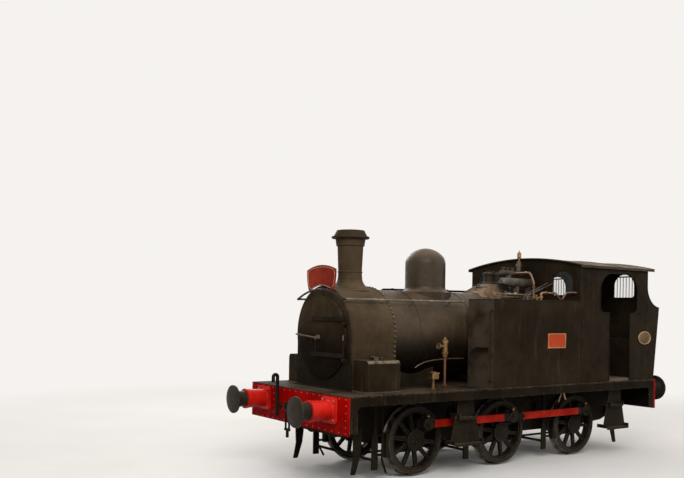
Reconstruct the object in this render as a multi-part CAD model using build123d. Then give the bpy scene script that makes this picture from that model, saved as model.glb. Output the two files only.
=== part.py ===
from build123d import *
import math
import os

# Small industrial six-coupled side tank steam locomotive, inside cylinders.
# Millimetres, +X forward, +Y to the engine's left, +Z up.
# Origin: middle of the engine, at the lowest point of the wheel flanges.
# Distances back are measured from a datum just behind the front beam's face.

# Driving dimensions, heights are above the rail top unless named otherwise
BEAM_FRONT = -51.0
BEAM_REAR = 6553.0
FOOTPLATE_WIDTH = 2550.0
FOOTPLATE_TOP = 1226.0
FOOTPLATE_THICK = 12.0
BEAM_BOTTOM = 721.0
BEAM_THICK = 40.0
FLANGE_DEPTH = 28.0
SEAT = 0.3

# Wheels and rods
TREAD_R = 490.0
TYRE_THICK = 58.0
RIM_THICK = 34.0
TYRE_WIDTH = 144.0
FLANGE_WIDTH = 30.0
WHEEL_BACK_Y = 680.0
SPOKES = 10
SPOKE_ROOT = 64.0
SPOKE_TIP = 44.0
SPOKE_THICK = 46.0
HUB_R = 158.0
HUB_WIDTH = 156.0
AXLE_R = 78.0
JOURNAL_CLEARANCE = 0.4
AXLE_BACK = {"leading": 1483.0, "driving": 3224.0, "trailing": 4965.0}
CRANK_R = 271.0
CRANK_ANGLE = {"left": 117.0, "right": 27.0}
CRANK_BOSS_R = 92.0
CRANK_PIN_R = 44.0
ROD_Y = 946.0
ROD_THICK = 50.0
ROD_DEPTH = 108.0
ROD_EYE_R = 92.0
ROD_CLEARANCE = 1.0

# Frames
FRAME_Y = 605.0
FRAME_THICK = 25.0
FRAME_BOTTOM = 430.0
HORN_BOTTOM = 300.0
AXLEBOX_WIDTH = 230.0
AXLEBOX_BOTTOM = 335.0
AXLEBOX_TOP = 650.0
AXLEBOX_INNER_Y = 520.0
AXLEBOX_OUTER_Y = 655.0
SPRING_Y = 505.0
SPRING_WIDTH = 85.0
SPRING_LENGTH = 800.0
SPRING_LEAVES = 5
SPRING_LEAF = 16.0

# Buffers and draw gear
BUFFER_Y = 870.0
BUFFER_Z = 1022.0
BUFFER_REACH = {"front": 560.0, "rear": 610.0}
BUFFER_HEAD_R = {"front": 204.0, "rear": 222.0}
SOCKET_REACH = 350.0
SOCKET_R = 146.0
SOCKET_WAIST_R = 128.0
SOCKET_BASE = 172.0
PLUNGER_R = 117.0
HOOK_Z = 990.0
HOOK_THICK = 48.0

# Boiler, smokebox and mountings
BOILER_Z = 2000.0
BOILER_R = 665.0
SMOKEBOX_R = 700.0
SMOKEBOX_HALF = 688.0
SMOKEBOX_FRONT = 396.0
SMOKEBOX_REAR = 1200.0
SMOKEBOX_PLATE = 14.0
FIREBOX_FRONT = 3400.0
FIREBOX_REAR = 4700.0
FIREBOX_R = 690.0
FIREBOX_HALF = 480.0
FIREBOX_BOTTOM = 560.0
DOOR_R = 598.0
DOOR_OPENING_R = 552.0
DOOR_Z = 1950.0
DOOR_GAP = 5.0
DOOR_RIM = 18.0
DOOR_DISH = 50.0
HINGE_Y = 602.0
HINGE_OUT = 62.0
HINGE_PIN_R = 11.0
HINGE_TOP = 2345.0
HINGE_BOTTOM = 1630.0
STRAP_Z = (2225.0, 1712.0)
STRAP_HIGH = 56.0
STRAP_END_Y = -180.0
HINGE_LUG_Z = (2160.0, 1650.0)
CHIMNEY_BACK = 861.0
CHIMNEY_BORE_R = 150.0
CHIMNEY_TOP = 3526.0
DOME_BACK = 2322.0
DOME_R = 318.0
DOME_SPRING = 3096.0
DOME_TOP = 3346.0
DOME_FLARE = 90.0
DOME_FOOT = 2740.0
DOME_SHOULDER_R = 200.0

# Tanks, cab and bunker
TANK_FRONT = 2600.0
TANK_INNER_Y = 700.0
SIDE_INSET = 30.0
SIDE_Y = FOOTPLATE_WIDTH / 2 - SIDE_INSET
TANK_TOP = 2545.0
SHEET = 8.0
CAB_FRONT = 4546.0
CAB_REAR = 6345.0
EAVE_Z = 3130.0
ROOF_RISE = 150.0
ROOF_THICK = 10.0
ROOF_FRONT = 4500.0
ROOF_REAR = 6454.0
ROOF_OVERHANG = 55.0
ROOF_HALF = SIDE_Y + ROOF_OVERHANG
BUNKER_FRONT = 5930.0
BUNKER_TOP = 2484.0
BUNKER_TOP_REAR = 6681.0
BUNKER_FOOT_REAR = 6534.0
SWEEP_TOP = BUNKER_TOP + 371.0
SWEEP_MIDDLE = BUNKER_TOP + 156.0
SWEEP_DEPTH = 65.0
BUNKER_FLOOR = 1560.0
BUNKER_FRONT_TOP = 1950.0
VALVE_BACK = (3705.0, 3905.0)
VALVE_SEAT_Z = 2826.0
VALVE_CASE = (3195.0, 4075.0, 340.0)
VALVE_CASE_Z = 2560.0
VALVE_HIGH = 205.0
TURRET_FRONT = 4010.0
TURRET_Z = 3030.0
TURRET_R = 46.0
WHISTLE_BACK = 4456.0
WHISTLE_Z = 3240.0
MANIFOLD = (3740.0, 4484.0)
MANIFOLD_Y = 255.0
MANIFOLD_Z = 2858.0
MANIFOLD_R = 74.0
UPPER_OPENING = (5050.0, 6040.0, 2370.0, 3033.0)
UPPER_CORNER = 290.0
NUMBER_PLATE = (3777.0, 4197.0, 1800.0, 2036.0)
WORKS_PLATE = (6257.0, 1950.0)
DOORWAY = (5301.0, 5852.0)
DOORWAY_CORNER = 110.0
WINDOW_Z = 2857.0
WINDOW_R = 213.0
WINDOW_BOTTOM = 2650.0
FRONT_WINDOW_Y = 889.0
REAR_WINDOW_Y = 760.0
GLASS_THICK = 6.0
CAB_FLOOR_THICK = 45.0
ROOF_LIP = 30.0
HAND_BRAKE = (5060.0, -1000.0)

# Sandboxes
SAND_FRONT = 455.0
SAND_REAR = 1005.0
SAND_OUTER_Y = 1031.0
SAND_HIGH = 440.0
SAND_LID_R = 80.0
SAND_LID_BACK = 730.0
SAND_LID_Y = 860.0
TANK_LID_R = 165.0
TANK_LID_BACK = 3250.0
TANK_LID_Y = 985.0
LID_NECK = 20.0
LID_GAP = 5.0
LID_THICK = 14.0
LID_PIN_R = 6.0
CYLINDERS = (430.0, 1040.0)
CYLINDER_Y = 290.0
CYLINDER_Z = 760.0
CYLINDER_R = 215.0
BRAKE_BEAM_Z = 250.0
HANGER_OUT = 190.0
HANGER_Y = 750.0
HANGER_THICK = 30.0
HANGER_TOP = 1040.0
HANGER_FOOT = 118.0
GUARD_Y = 750.0
GUARD_THICK = 22.0
GUARD_TIP_Z = 88.0
SAND_PIPE_BACK = 878.0
SAND_PIPE_Y = 816.0
SAND_PIPE_R = 16.0
STEP_INSET = 125.0
STEP_FRONT = 2140.0
STEP_REAR = 5576.0
STEP_Y = FOOTPLATE_WIDTH / 2 - STEP_INSET
STEP_DEPTH = 120.0
STEP_LIP = 90.0
TREADS = ((822.0, 190.0, 135.0), (440.0, 285.0, 285.0))
VALANCE_BOTTOM = 1090.0
VALANCE_THICK = 20.0
VALANCE_CORNER = 70.0
VALANCE_END = 164.0
CRADLE_REAR = 1960.0
CRADLE_HIGH = 205.0
HANDRAIL_OUT = 66.0
HANDRAIL_RISE = 140.0
HANDRAIL_Y = 585.0
BOARD_OUT = 34.0
BOARD_LOW = 2700.0
BOARD_THICK = 14.0
HANDRAIL_Z = 2505.0
HANDRAIL_R = 15.0
HANDRAIL_POSTS = ((860.0, SMOKEBOX_R), (1600.0, BOILER_R), (2330.0, BOILER_R))

DATUM_X = (BEAM_FRONT + BEAM_REAR) / 2
HALF_WIDTH = FOOTPLATE_WIDTH / 2
SIDES = {"left": 1, "right": -1}


def back(distance):
    """X of a point measured back from the datum."""
    return DATUM_X - distance


def up(height):
    """Z of a point measured up from the rail top."""
    return height + FLANGE_DEPTH


def block(b0, b1, y0, y1, h0, h1):
    """Box between two distances back, two Y values and two heights."""
    middle = Pos((back(b0) + back(b1)) / 2, (y0 + y1) / 2, up((h0 + h1) / 2))
    return middle * Box(abs(b1 - b0), abs(y1 - y0), abs(h1 - h0))


def rod_x(b0, b1, y, h, r):
    return Pos((back(b0) + back(b1)) / 2, y, up(h)) * Rot(0, 90, 0) * Cylinder(r, abs(b1 - b0))


def rod_y(y0, y1, b, h, r):
    return Pos(back(b), (y0 + y1) / 2, up(h)) * Rot(90, 0, 0) * Cylinder(r, abs(y1 - y0))


def rod_z(h0, h1, b, y, r):
    return Pos(back(b), y, up((h0 + h1) / 2)) * Cylinder(r, abs(h1 - h0))


def side_plate(points, y0, y1):
    """Plate in the XZ plane from a list of (distance back, height)."""
    plane = Plane(origin=(0, max(y0, y1), 0), x_dir=(1, 0, 0), z_dir=(0, -1, 0))
    outline = Polyline([(back(b), up(h)) for b, h in points], close=True)
    return extrude(plane * make_face(outline), amount=abs(y1 - y0))


def cross_plate(points, b0, b1):
    """Plate in the YZ plane from a list of (Y, height)."""
    plane = Plane(origin=(back(max(b0, b1)), 0, 0), x_dir=(0, 1, 0), z_dir=(1, 0, 0))
    outline = Polyline([(y, up(h)) for y, h in points], close=True)
    return extrude(plane * make_face(outline), amount=abs(b1 - b0))


def flip(shape):
    return mirror(shape, Plane.XZ)


def both(shape):
    return [shape, flip(shape)]


def turned(points, b, y):
    """Revolved solid about a vertical axis from a list of (radius, height)."""
    outline = Polyline([(r, up(h)) for r, h in points], close=True)
    return Pos(back(b), y, 0) * revolve(Plane.XZ * make_face(outline), Axis.Z)


def turned_x(points, b, y, h, facing=1):
    """Revolved solid about an X axis from a list of (forward distance, radius)."""
    outline = Polyline(points, close=True)
    solid = revolve(Plane.XZ * make_face(outline), Axis.X)
    return Pos(back(b), y, up(h)) * Rot(0, 0, 0 if facing > 0 else 180) * solid


def pipe(points, radii, r):
    """Round pipe along a run with tangent bends, points as (back, Y, height)."""
    run = [Vector(back(b), y, up(h)) for b, y, h in points]
    path = FilletPolyline(*run, radius=radii) if len(run) > 2 else Line(*run)
    return sweep(Plane(origin=path @ 0, z_dir=path % 0) * Circle(r), path=path)


def group(solids):
    return Compound(children=list(solids))


# Wheels, axles and coupling rods

def wheel(side):
    sign = SIDES[side]
    tread_inner = TREAD_R - TYRE_THICK
    rim_inner = tread_inner - RIM_THICK
    outer = WHEEL_BACK_Y + TYRE_WIDTH
    crown = WHEEL_BACK_Y + FLANGE_WIDTH / 2
    profile = Polyline(
        (rim_inner, WHEEL_BACK_Y + 12),
        (TREAD_R + FLANGE_DEPTH - 10, WHEEL_BACK_Y),
        (TREAD_R + FLANGE_DEPTH, crown - 6),
        (TREAD_R + FLANGE_DEPTH, crown),
        (TREAD_R + 6, WHEEL_BACK_Y + FLANGE_WIDTH),
        (TREAD_R, WHEEL_BACK_Y + FLANGE_WIDTH + 12),
        (TREAD_R - 4, outer - 8),
        (TREAD_R - 12, outer),
        (tread_inner, outer),
        (tread_inner - 2, outer - 12),
        (rim_inner, outer - 12),
        close=True,
    )
    solid = revolve(make_face(profile), Axis.Y)
    middle = WHEEL_BACK_Y + TYRE_WIDTH / 2
    hub_outer = middle + HUB_WIDTH / 2
    hub_inner = WHEEL_BACK_Y - 6
    face = Plane(origin=(0, middle + SPOKE_THICK / 2, 0), x_dir=(1, 0, 0), z_dir=(0, -1, 0))
    spoke = face * make_face(Polyline(
        (-SPOKE_ROOT / 2, HUB_R - 20),
        (SPOKE_ROOT / 2, HUB_R - 20),
        (SPOKE_TIP / 2, rim_inner + 8),
        (-SPOKE_TIP / 2, rim_inner + 8),
        close=True,
    ))
    spoke = extrude(spoke, amount=SPOKE_THICK)
    angle = CRANK_ANGLE[side]
    for index in range(SPOKES):
        solid += Rot(0, 90 - angle + 360 / SPOKES * index, 0) * spoke
    solid += Pos(0, (hub_inner + hub_outer) / 2, 0) * Rot(90, 0, 0) * Cylinder(HUB_R, hub_outer - hub_inner)
    pin_x = CRANK_R * math.cos(math.radians(angle))
    pin_z = CRANK_R * math.sin(math.radians(angle))
    boss = Cylinder(CRANK_BOSS_R, hub_outer - middle + SPOKE_THICK / 2)
    solid += Pos(pin_x, (hub_outer + middle - SPOKE_THICK / 2) / 2, pin_z) * Rot(90, 0, 0) * boss
    pin_end = ROD_Y + ROD_THICK / 2 + 14
    pin = Cylinder(CRANK_PIN_R, pin_end - hub_outer + 10)
    solid += Pos(pin_x, (pin_end + hub_outer - 10) / 2, pin_z) * Rot(90, 0, 0) * pin
    bore = Cylinder(AXLE_R + SEAT, 2 * HUB_WIDTH)
    solid -= Pos(0, middle, 0) * Rot(90, 0, 0) * bore
    return solid if sign > 0 else flip(solid)


def wheel_at(side, axle):
    return Pos(back(AXLE_BACK[axle]), 0, up(TREAD_R)) * wheel(side)


def axle_shaft(axle):
    half = WHEEL_BACK_Y + TYRE_WIDTH / 2 + HUB_WIDTH / 2 + 6
    return rod_y(-half, half, AXLE_BACK[axle], TREAD_R, AXLE_R)


def coupling_rod(side):
    sign = SIDES[side]
    angle = math.radians(CRANK_ANGLE[side])
    shift = CRANK_R * math.cos(angle)
    height = TREAD_R + CRANK_R * math.sin(angle)
    y0 = ROD_Y - ROD_THICK / 2
    y1 = ROD_Y + ROD_THICK / 2
    pins = [AXLE_BACK[name] - shift for name in AXLE_BACK]
    solid = block(pins[0], pins[-1], y0 + 6, y1 - 6, height - ROD_DEPTH / 2, height + ROD_DEPTH / 2)
    for pin in pins:
        solid += rod_y(y0, y1, pin, height, ROD_EYE_R)
    for pin in pins:
        solid -= rod_y(y0 - 5, y1 + 5, pin, height, CRANK_PIN_R + ROD_CLEARANCE)
    joint = pins[1] + 210
    solid += rod_y(y0, y1, joint, height, ROD_DEPTH * 0.62)
    return solid if sign > 0 else flip(solid)


# Frames and running gear

def main_frames():
    horn = AXLEBOX_WIDTH / 2 + 90
    top = FOOTPLATE_TOP - FOOTPLATE_THICK - SEAT
    front = BEAM_FRONT + BEAM_THICK + SEAT
    rear = BEAM_REAR - BEAM_THICK - SEAT
    outline = [(front, top), (front, BEAM_BOTTOM), (700, FRAME_BOTTOM + 60)]
    for b in AXLE_BACK.values():
        outline += [(b - horn - 60, FRAME_BOTTOM), (b - horn, HORN_BOTTOM), (b + horn, HORN_BOTTOM)]
        outline += [(b + horn + 60, FRAME_BOTTOM)]
    outline += [(BEAM_REAR - 653, FRAME_BOTTOM + 60), (rear, BEAM_BOTTOM), (rear, top)]
    plate = side_plate(outline, FRAME_Y, FRAME_Y + FRAME_THICK)
    for b in AXLE_BACK.values():
        half = AXLEBOX_WIDTH / 2 + SEAT
        plate -= block(b - half, b + half, FRAME_Y - 5, FRAME_Y + FRAME_THICK + 5, AXLEBOX_BOTTOM - SEAT, 700)
    for b in (2350, 4100):
        plate -= rod_y(FRAME_Y - 5, FRAME_Y + FRAME_THICK + 5, b, 800, 130)
    return group(both(plate))


def frame_stretchers():
    inner = FRAME_Y - SEAT
    top = FOOTPLATE_TOP - FOOTPLATE_THICK - SEAT
    table = (
        # from, to, bottom, top
        (BEAM_FRONT + BEAM_THICK + SEAT, 70, 760, top),
        (2340, 2365, 640, top),
        (5450, 5475, 620, top),
        (6200, 6225, 760, top),
    )
    plates = [block(b0, b1, -inner, inner, h0, h1) for b0, b1, h0, h1 in table]
    plates[0] -= block(BEAM_FRONT, 100, -32, 32, HOOK_Z - 45, HOOK_Z + 45)
    plates[1] -= block(2330, 2375, -180, 180, 700, 1000)
    return group(plates)


def axleboxes():
    solids = []
    for b in AXLE_BACK.values():
        half = AXLEBOX_WIDTH / 2
        box = block(b - half, b + half, AXLEBOX_INNER_Y, AXLEBOX_OUTER_Y, AXLEBOX_BOTTOM, AXLEBOX_TOP)
        box -= rod_y(AXLEBOX_INNER_Y - 5, AXLEBOX_OUTER_Y + 5, b, TREAD_R, AXLE_R + JOURNAL_CLEARANCE)
        solids += both(box)
    return group(solids)


def leaf_springs():
    solids = []
    y0 = SPRING_Y
    y1 = SPRING_Y + SPRING_WIDTH
    for b in AXLE_BACK.values():
        stack = block(b - 60, b + 60, y0, y1, AXLEBOX_TOP + SEAT, AXLEBOX_TOP + 70)
        for leaf in range(SPRING_LEAVES):
            half = SPRING_LENGTH / 2 * (0.4 + 0.6 * leaf / (SPRING_LEAVES - 1))
            low = AXLEBOX_TOP + 60 + SPRING_LEAF * leaf
            stack += block(b - half, b + half, y0, y1, low, low + SPRING_LEAF)
        low = AXLEBOX_TOP + 60 + SPRING_LEAF * (SPRING_LEAVES - 1)
        for end in (-1, 1):
            hook = b + end * (SPRING_LENGTH / 2 - 30)
            stack += rod_z(low, low + 120, hook, (y0 + y1) / 2, 16)
            stack += block(hook - 40, hook + 40, y0, FRAME_Y - SEAT, low + 110, low + 150)
        solids += both(stack)
    return group(solids)


def cylinder_block():
    low = CYLINDER_Z - CYLINDER_R + 15
    front, rear = CYLINDERS
    body = block(front, rear, -FRAME_Y + SEAT, FRAME_Y - SEAT, low, FOOTPLATE_TOP - FOOTPLATE_THICK - SEAT)
    for y in (-CYLINDER_Y, CYLINDER_Y):
        body += rod_x(front - 30, rear + 30, y, CYLINDER_Z, CYLINDER_R)
    return body


def guard_irons():
    """Irons over the rails, set out from the frames on brackets."""
    solids = []
    face = FRAME_Y + FRAME_THICK + SEAT
    leg = (
        (423, 700), (560, 700), (560, 500), (537, 322),
        (459, GUARD_TIP_Z), (388, GUARD_TIP_Z), (432, 322), (423, 500),
    )
    for end in (-1, 1):
        points = leg if end < 0 else [(BEAM_REAR - b, h) for b, h in leg]
        iron = side_plate(points, GUARD_Y - GUARD_THICK / 2, GUARD_Y + GUARD_THICK / 2)
        middle = points[0][0] * 0.5 + points[1][0] * 0.5
        iron += block(middle - 60, middle + 60, face, GUARD_Y, 590, 690)
        solids += both(iron)
    return group(solids)


def brake_gear():
    """Hangers ahead of each wheel, their blocks, the beams between them and the pull rod."""
    solids = []
    inner = WHEEL_BACK_Y + FLANGE_WIDTH + 16
    outer = WHEEL_BACK_Y + TYRE_WIDTH - 8
    y0 = HANGER_Y - HANGER_THICK / 2
    y1 = HANGER_Y + HANGER_THICK / 2
    for b in AXLE_BACK.values():
        front = b - TREAD_R - 8
        bar = front - HANGER_OUT
        side = block(front - 35, front + 60, inner, outer, TREAD_R - 205, TREAD_R + 135)
        side -= rod_y(inner - 5, outer + 5, b, TREAD_R, TREAD_R + 8)
        for h in (TREAD_R - 165, TREAD_R + 108):
            side += block(bar, front - 30, y0 - 12, y1 + 12, h - 13, h + 13)
        side += block(bar - 48, bar + 48, y0, y1, HANGER_FOOT, TREAD_R + 120)
        side += block(bar - 30, bar + 30, y0, y1, TREAD_R + 110, HANGER_TOP)
        side += block(bar - 30, bar + 30, FRAME_Y + FRAME_THICK + SEAT, y1, HANGER_TOP - 50, HANGER_TOP)
        solids += both(side)
        solids.append(rod_y(SEAT - y0, y0 - SEAT, bar, BRAKE_BEAM_Z, 20))
    first = AXLE_BACK["leading"] - TREAD_R - HANGER_OUT - 40
    pull = block(first, AXLE_BACK["trailing"] + 635, -22, 22, BRAKE_BEAM_Z - 48, BRAKE_BEAM_Z - 20 - SEAT)
    return group(solids + [pull])


def sand_pipes():
    """Pipes from the sandboxes to the rails ahead of the leading wheels."""
    top = FOOTPLATE_TOP - FOOTPLATE_THICK - SEAT
    foot = (SAND_PIPE_BACK + 90, SAND_PIPE_Y - 25, 75)
    run = pipe([(SAND_PIPE_BACK, SAND_PIPE_Y, top), (SAND_PIPE_BACK, SAND_PIPE_Y, 250), foot], [60], SAND_PIPE_R)
    run += block(SAND_PIPE_BACK - 32, SAND_PIPE_BACK + 32, SAND_PIPE_Y - 32, SAND_PIPE_Y + 32, top - 14, top)
    return both(run)


def ashpan():
    front = FIREBOX_FRONT + 80
    rear = FIREBOX_REAR - 80
    top = FIREBOX_BOTTOM - SEAT
    points = ((front, top), (rear, top), (rear - 60, top - 160), (front + 220, top - 160), (front, top - 90))
    return side_plate(points, -FIREBOX_HALF + 40, FIREBOX_HALF - 40)


# Platform

def footplate():
    bottom = FOOTPLATE_TOP - FOOTPLATE_THICK
    plate = block(BEAM_FRONT, BEAM_REAR, -HALF_WIDTH, HALF_WIDTH, bottom, FOOTPLATE_TOP)
    hole = FIREBOX_HALF + SEAT
    hollow = block(FIREBOX_FRONT - SEAT, FIREBOX_REAR + SEAT, -hole, hole, bottom - 5, FOOTPLATE_TOP + 5)
    return plate - hollow


def valances():
    top = FOOTPLATE_TOP - FOOTPLATE_THICK - SEAT
    front = BEAM_FRONT + BEAM_THICK + SEAT
    rear = BEAM_REAR - BEAM_THICK - SEAT
    plate = block(front, rear, HALF_WIDTH - VALANCE_THICK, HALF_WIDTH, BEAM_BOTTOM + 25, top)
    gap = block(
        BEAM_FRONT + VALANCE_END, BEAM_REAR - VALANCE_END, HALF_WIDTH - 100, HALF_WIDTH + 100,
        BEAM_BOTTOM - 200, VALANCE_BOTTOM,
    )
    gap = fillet(gap.edges().filter_by(Axis.Y).group_by(Axis.Z)[-1], VALANCE_CORNER)
    return group(both(plate - gap))


def boiler_cradles():
    """Frame tops that rise beside the barrel behind the smokebox."""
    low = FOOTPLATE_TOP + SEAT
    high = low + CRADLE_HIGH
    front = SMOKEBOX_REAR + SEAT
    points = (
        (front, low), (front, high + 55), (1330, high + 40),
        (CRADLE_REAR - 140, high + 60), (CRADLE_REAR, high + 90),
    )
    plate = side_plate(points + ((CRADLE_REAR + 40, low),), FRAME_Y, FRAME_Y + FRAME_THICK)
    sag = 3 * CRADLE_HIGH
    plate -= rod_y(FRAME_Y - 5, FRAME_Y + FRAME_THICK + 5, 1560, high + sag, sag)
    foot = block(front, CRADLE_REAR + 40, FRAME_Y + FRAME_THICK - 2, FRAME_Y + FRAME_THICK + 60, low, low + 12)
    return group(both(plate + foot))


def beam(end):
    face = BEAM_FRONT if end == "front" else BEAM_REAR
    inner = face + BEAM_THICK if end == "front" else face - BEAM_THICK
    top = FOOTPLATE_TOP - FOOTPLATE_THICK - SEAT
    plate = block(face, inner, -HALF_WIDTH, HALF_WIDTH, BEAM_BOTTOM, top)
    return plate - block(face - 50, face + 50, -32, 32, HOOK_Z - 45, HOOK_Z + 45)


def buffer_sockets():
    """Tapered guides on square base plates."""
    solids = []
    profile = (
        (20, 0), (20, SOCKET_WAIST_R + 14), (40, SOCKET_WAIST_R), (SOCKET_REACH - 30, SOCKET_R - 6),
        (SOCKET_REACH - 30, SOCKET_R), (SOCKET_REACH, SOCKET_R), (SOCKET_REACH, 0),
    )
    for face, facing in ((BEAM_FRONT, 1), (BEAM_REAR, -1)):
        for y in (-BUFFER_Y, BUFFER_Y):
            base = block(
                face - facing * SEAT, face - facing * 26, y - SOCKET_BASE, y + SOCKET_BASE,
                BUFFER_Z - SOCKET_BASE, BUFFER_Z + SOCKET_BASE,
            )
            base = fillet(base.edges().filter_by(Axis.X), 40)
            solids.append(base + turned_x(profile, face, y, BUFFER_Z, facing))
    return group(solids)


def buffer_heads():
    solids = []
    for face, facing, end in ((BEAM_FRONT, 1, "front"), (BEAM_REAR, -1, "rear")):
        r = BUFFER_HEAD_R[end]
        reach = BUFFER_REACH[end]
        profile = (
            (SOCKET_REACH + SEAT, 0), (SOCKET_REACH + SEAT, PLUNGER_R), (reach - 75, PLUNGER_R),
            (reach - 50, r * 0.72), (reach - 38, r), (reach - 16, r),
            (reach - 4, r * 0.6), (reach, r * 0.25), (reach, 0),
        )
        for y in (-BUFFER_Y, BUFFER_Y):
            solids.append(turned_x(profile, face, y, BUFFER_Z, facing))
    return group(solids)


def draw_gear():
    """Draw hooks in the beams, each with a shackle and two links hanging from it."""
    solids = []
    hook = (
        (110, -38), (110, 38), (-10, 34), (-70, -10), (-110, -10), (-135, 55),
        (-175, 60), (-195, -20), (-155, -75), (-70, -85), (-10, -38),
    )
    for face, facing in ((BEAM_FRONT, 1), (BEAM_REAR, -1)):
        points = [(face + facing * b, HOOK_Z + h) for b, h in hook]
        solid = side_plate(points, -HOOK_THICK / 2, HOOK_THICK / 2)
        solid += block(face - facing * SEAT, face - facing * 14, -75, 75, HOOK_Z - 80, HOOK_Z + 80)
        eye = face - facing * 128
        solid += rod_y(-58, 58, eye, HOOK_Z - 28, 17)
        for y in (-46, 46):
            solid += rod_z(HOOK_Z - 330, HOOK_Z - 28, eye, y, 15)
        solid += rod_y(-58, 58, eye, HOOK_Z - 330, 20)
        solid += rod_z(HOOK_Z - 440, HOOK_Z - 330, eye, 0, 22)
        solids.append(solid)
    return group(solids)


# Boiler

def smokebox_outline(r, half, bottom):
    arch = cross_circle(r)
    return arch + cross_rect(half, bottom, BOILER_Z)


def cross_circle(r):
    return Pos(0, up(BOILER_Z)) * Circle(r)


def cross_rect(half, h0, h1):
    return Pos(0, up((h0 + h1) / 2)) * Rectangle(2 * half, h1 - h0)


def cross_solid(sketch, b0, b1):
    plane = Plane(origin=(back(max(b0, b1)), 0, 0), x_dir=(0, 1, 0), z_dir=(1, 0, 0))
    return extrude(plane * sketch, amount=abs(b1 - b0))


def smokebox():
    bottom = FOOTPLATE_TOP + SEAT
    outer = smokebox_outline(SMOKEBOX_R, SMOKEBOX_HALF, bottom)
    inner = smokebox_outline(
        SMOKEBOX_R - SMOKEBOX_PLATE, SMOKEBOX_HALF - SMOKEBOX_PLATE, bottom + SMOKEBOX_PLATE,
    )
    box = cross_solid(outer, SMOKEBOX_FRONT, SMOKEBOX_REAR)
    box -= cross_solid(inner, SMOKEBOX_FRONT + SMOKEBOX_PLATE, SMOKEBOX_REAR - SMOKEBOX_PLATE)
    box -= rod_x(SMOKEBOX_FRONT - 20, SMOKEBOX_FRONT + 40, 0, DOOR_Z, DOOR_OPENING_R)
    box -= rod_z(BOILER_Z + 400, BOILER_Z + 800, CHIMNEY_BACK, 0, CHIMNEY_BORE_R)
    angle = block(SMOKEBOX_FRONT - 55, SMOKEBOX_FRONT + 5, -SMOKEBOX_HALF, SMOKEBOX_HALF, bottom, bottom + 12)
    return box + angle


def blast_pipe():
    """Exhaust pipe and the flared pipe hung below the chimney."""
    bottom = FOOTPLATE_TOP + SMOKEBOX_PLATE + 2 * SEAT
    profile = (
        (0, bottom), (130, bottom), (130, bottom + 20), (92, bottom + 40), (84, 1760), (66, 1830), (0, 1830),
    )
    stand = turned(profile, CHIMNEY_BACK, 0)
    return stand


def smokebox_door():
    face = SMOKEBOX_FRONT - DOOR_GAP
    rim = Polyline([(0, 0), (0, DOOR_R), (DOOR_RIM, DOOR_R), (DOOR_RIM + 6, DOOR_R - 22)])
    bow_r = ((DOOR_R - 22) ** 2 + (DOOR_DISH - 6) ** 2) / (2 * (DOOR_DISH - 6))
    bow = RadiusArc((DOOR_RIM + 6, DOOR_R - 22), (DOOR_RIM + DOOR_DISH, 0), bow_r)
    if bow.arc_center.X > 0:
        bow = RadiusArc((DOOR_RIM + 6, DOOR_R - 22), (DOOR_RIM + DOOR_DISH, 0), -bow_r)
    closing = Line((DOOR_RIM + DOOR_DISH, 0), (0, 0))
    solid = revolve(Plane.XZ * make_face([rim, bow, closing]), Axis.X)
    return Pos(back(face), 0, up(DOOR_Z)) * solid


def door_straps():
    face = SMOKEBOX_FRONT - DOOR_GAP
    axis = SMOKEBOX_FRONT - HINGE_OUT
    crown = face - DOOR_RIM - DOOR_DISH
    door = smokebox_door()
    solids = []
    for h in STRAP_Z:
        low = h - STRAP_HIGH / 2
        high = h + STRAP_HIGH / 2
        points = (
            (HINGE_Y, axis - 12), (400, crown + 6), (100, crown - 16), (STRAP_END_Y, crown - 12),
            (STRAP_END_Y, crown + 38), (HINGE_Y, axis + 12),
        )
        plane = Plane(origin=(0, 0, up(low)), x_dir=(1, 0, 0), z_dir=(0, 0, 1))
        outline = Polyline([(back(b), y) for y, b in points], close=True)
        strap = extrude(plane * make_face(outline), amount=high - low)
        strap += rod_z(low, high, axis, HINGE_Y, 24)
        strap -= rod_z(low - 5, high + 5, axis, HINGE_Y, HINGE_PIN_R + SEAT)
        strap -= Pos(SEAT, 0, 0) * door
        solids.append(strap)
    return group(solids)


def door_dart():
    face = SMOKEBOX_FRONT - DOOR_GAP - DOOR_RIM - DOOR_DISH - SEAT
    dart = rod_x(face, face - 66, 0, DOOR_Z, 20)
    dart += rod_x(face - 2, face - 24, 0, DOOR_Z, 40)
    dart += pipe([(face - 36, 0, DOOR_Z - 4), (face - 44, -545, DOOR_Z + 33)], [], 12)
    dart += pipe([(face - 56, 0, DOOR_Z), (face - 62, 30, DOOR_Z - 240)], [], 12)
    return dart


def door_hinge_post():
    axis = SMOKEBOX_FRONT - HINGE_OUT
    post = rod_z(HINGE_BOTTOM, HINGE_TOP, axis, HINGE_Y, HINGE_PIN_R)
    for h in HINGE_LUG_Z:
        post += block(axis - 18, SMOKEBOX_FRONT - SEAT, HINGE_Y - 20, HINGE_Y + 20, h - 20, h + 20)
    return post


def chimney():
    profile = (
        (CHIMNEY_BORE_R, 2560), (330, 2560), (330, 2640), (284, 2672),
        (245, 2700), (217, 2732), (198, 2762), (186, 2792),
        (179, 2850), (177, 2903), (186, 2908), (186, 2922),
        (176, 2927), (192, 3292), (210, 3300), (211, 3320), (222, 3398),
        (276, 3408), (281, 3416), (281, 3432), (274, 3438),
        (244, 3444), (239, 3462), (212, 3512), (207, CHIMNEY_TOP),
        (CHIMNEY_BORE_R, CHIMNEY_TOP),
    )
    stack = turned(profile, CHIMNEY_BACK, 0)
    return stack - rod_x(SMOKEBOX_FRONT - 200, SMOKEBOX_REAR + 200, 0, BOILER_Z, SMOKEBOX_R + SEAT)


def boiler_barrel():
    barrel = rod_x(SMOKEBOX_REAR + SEAT, FIREBOX_FRONT - SEAT, 0, BOILER_Z, BOILER_R)
    return barrel


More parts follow.
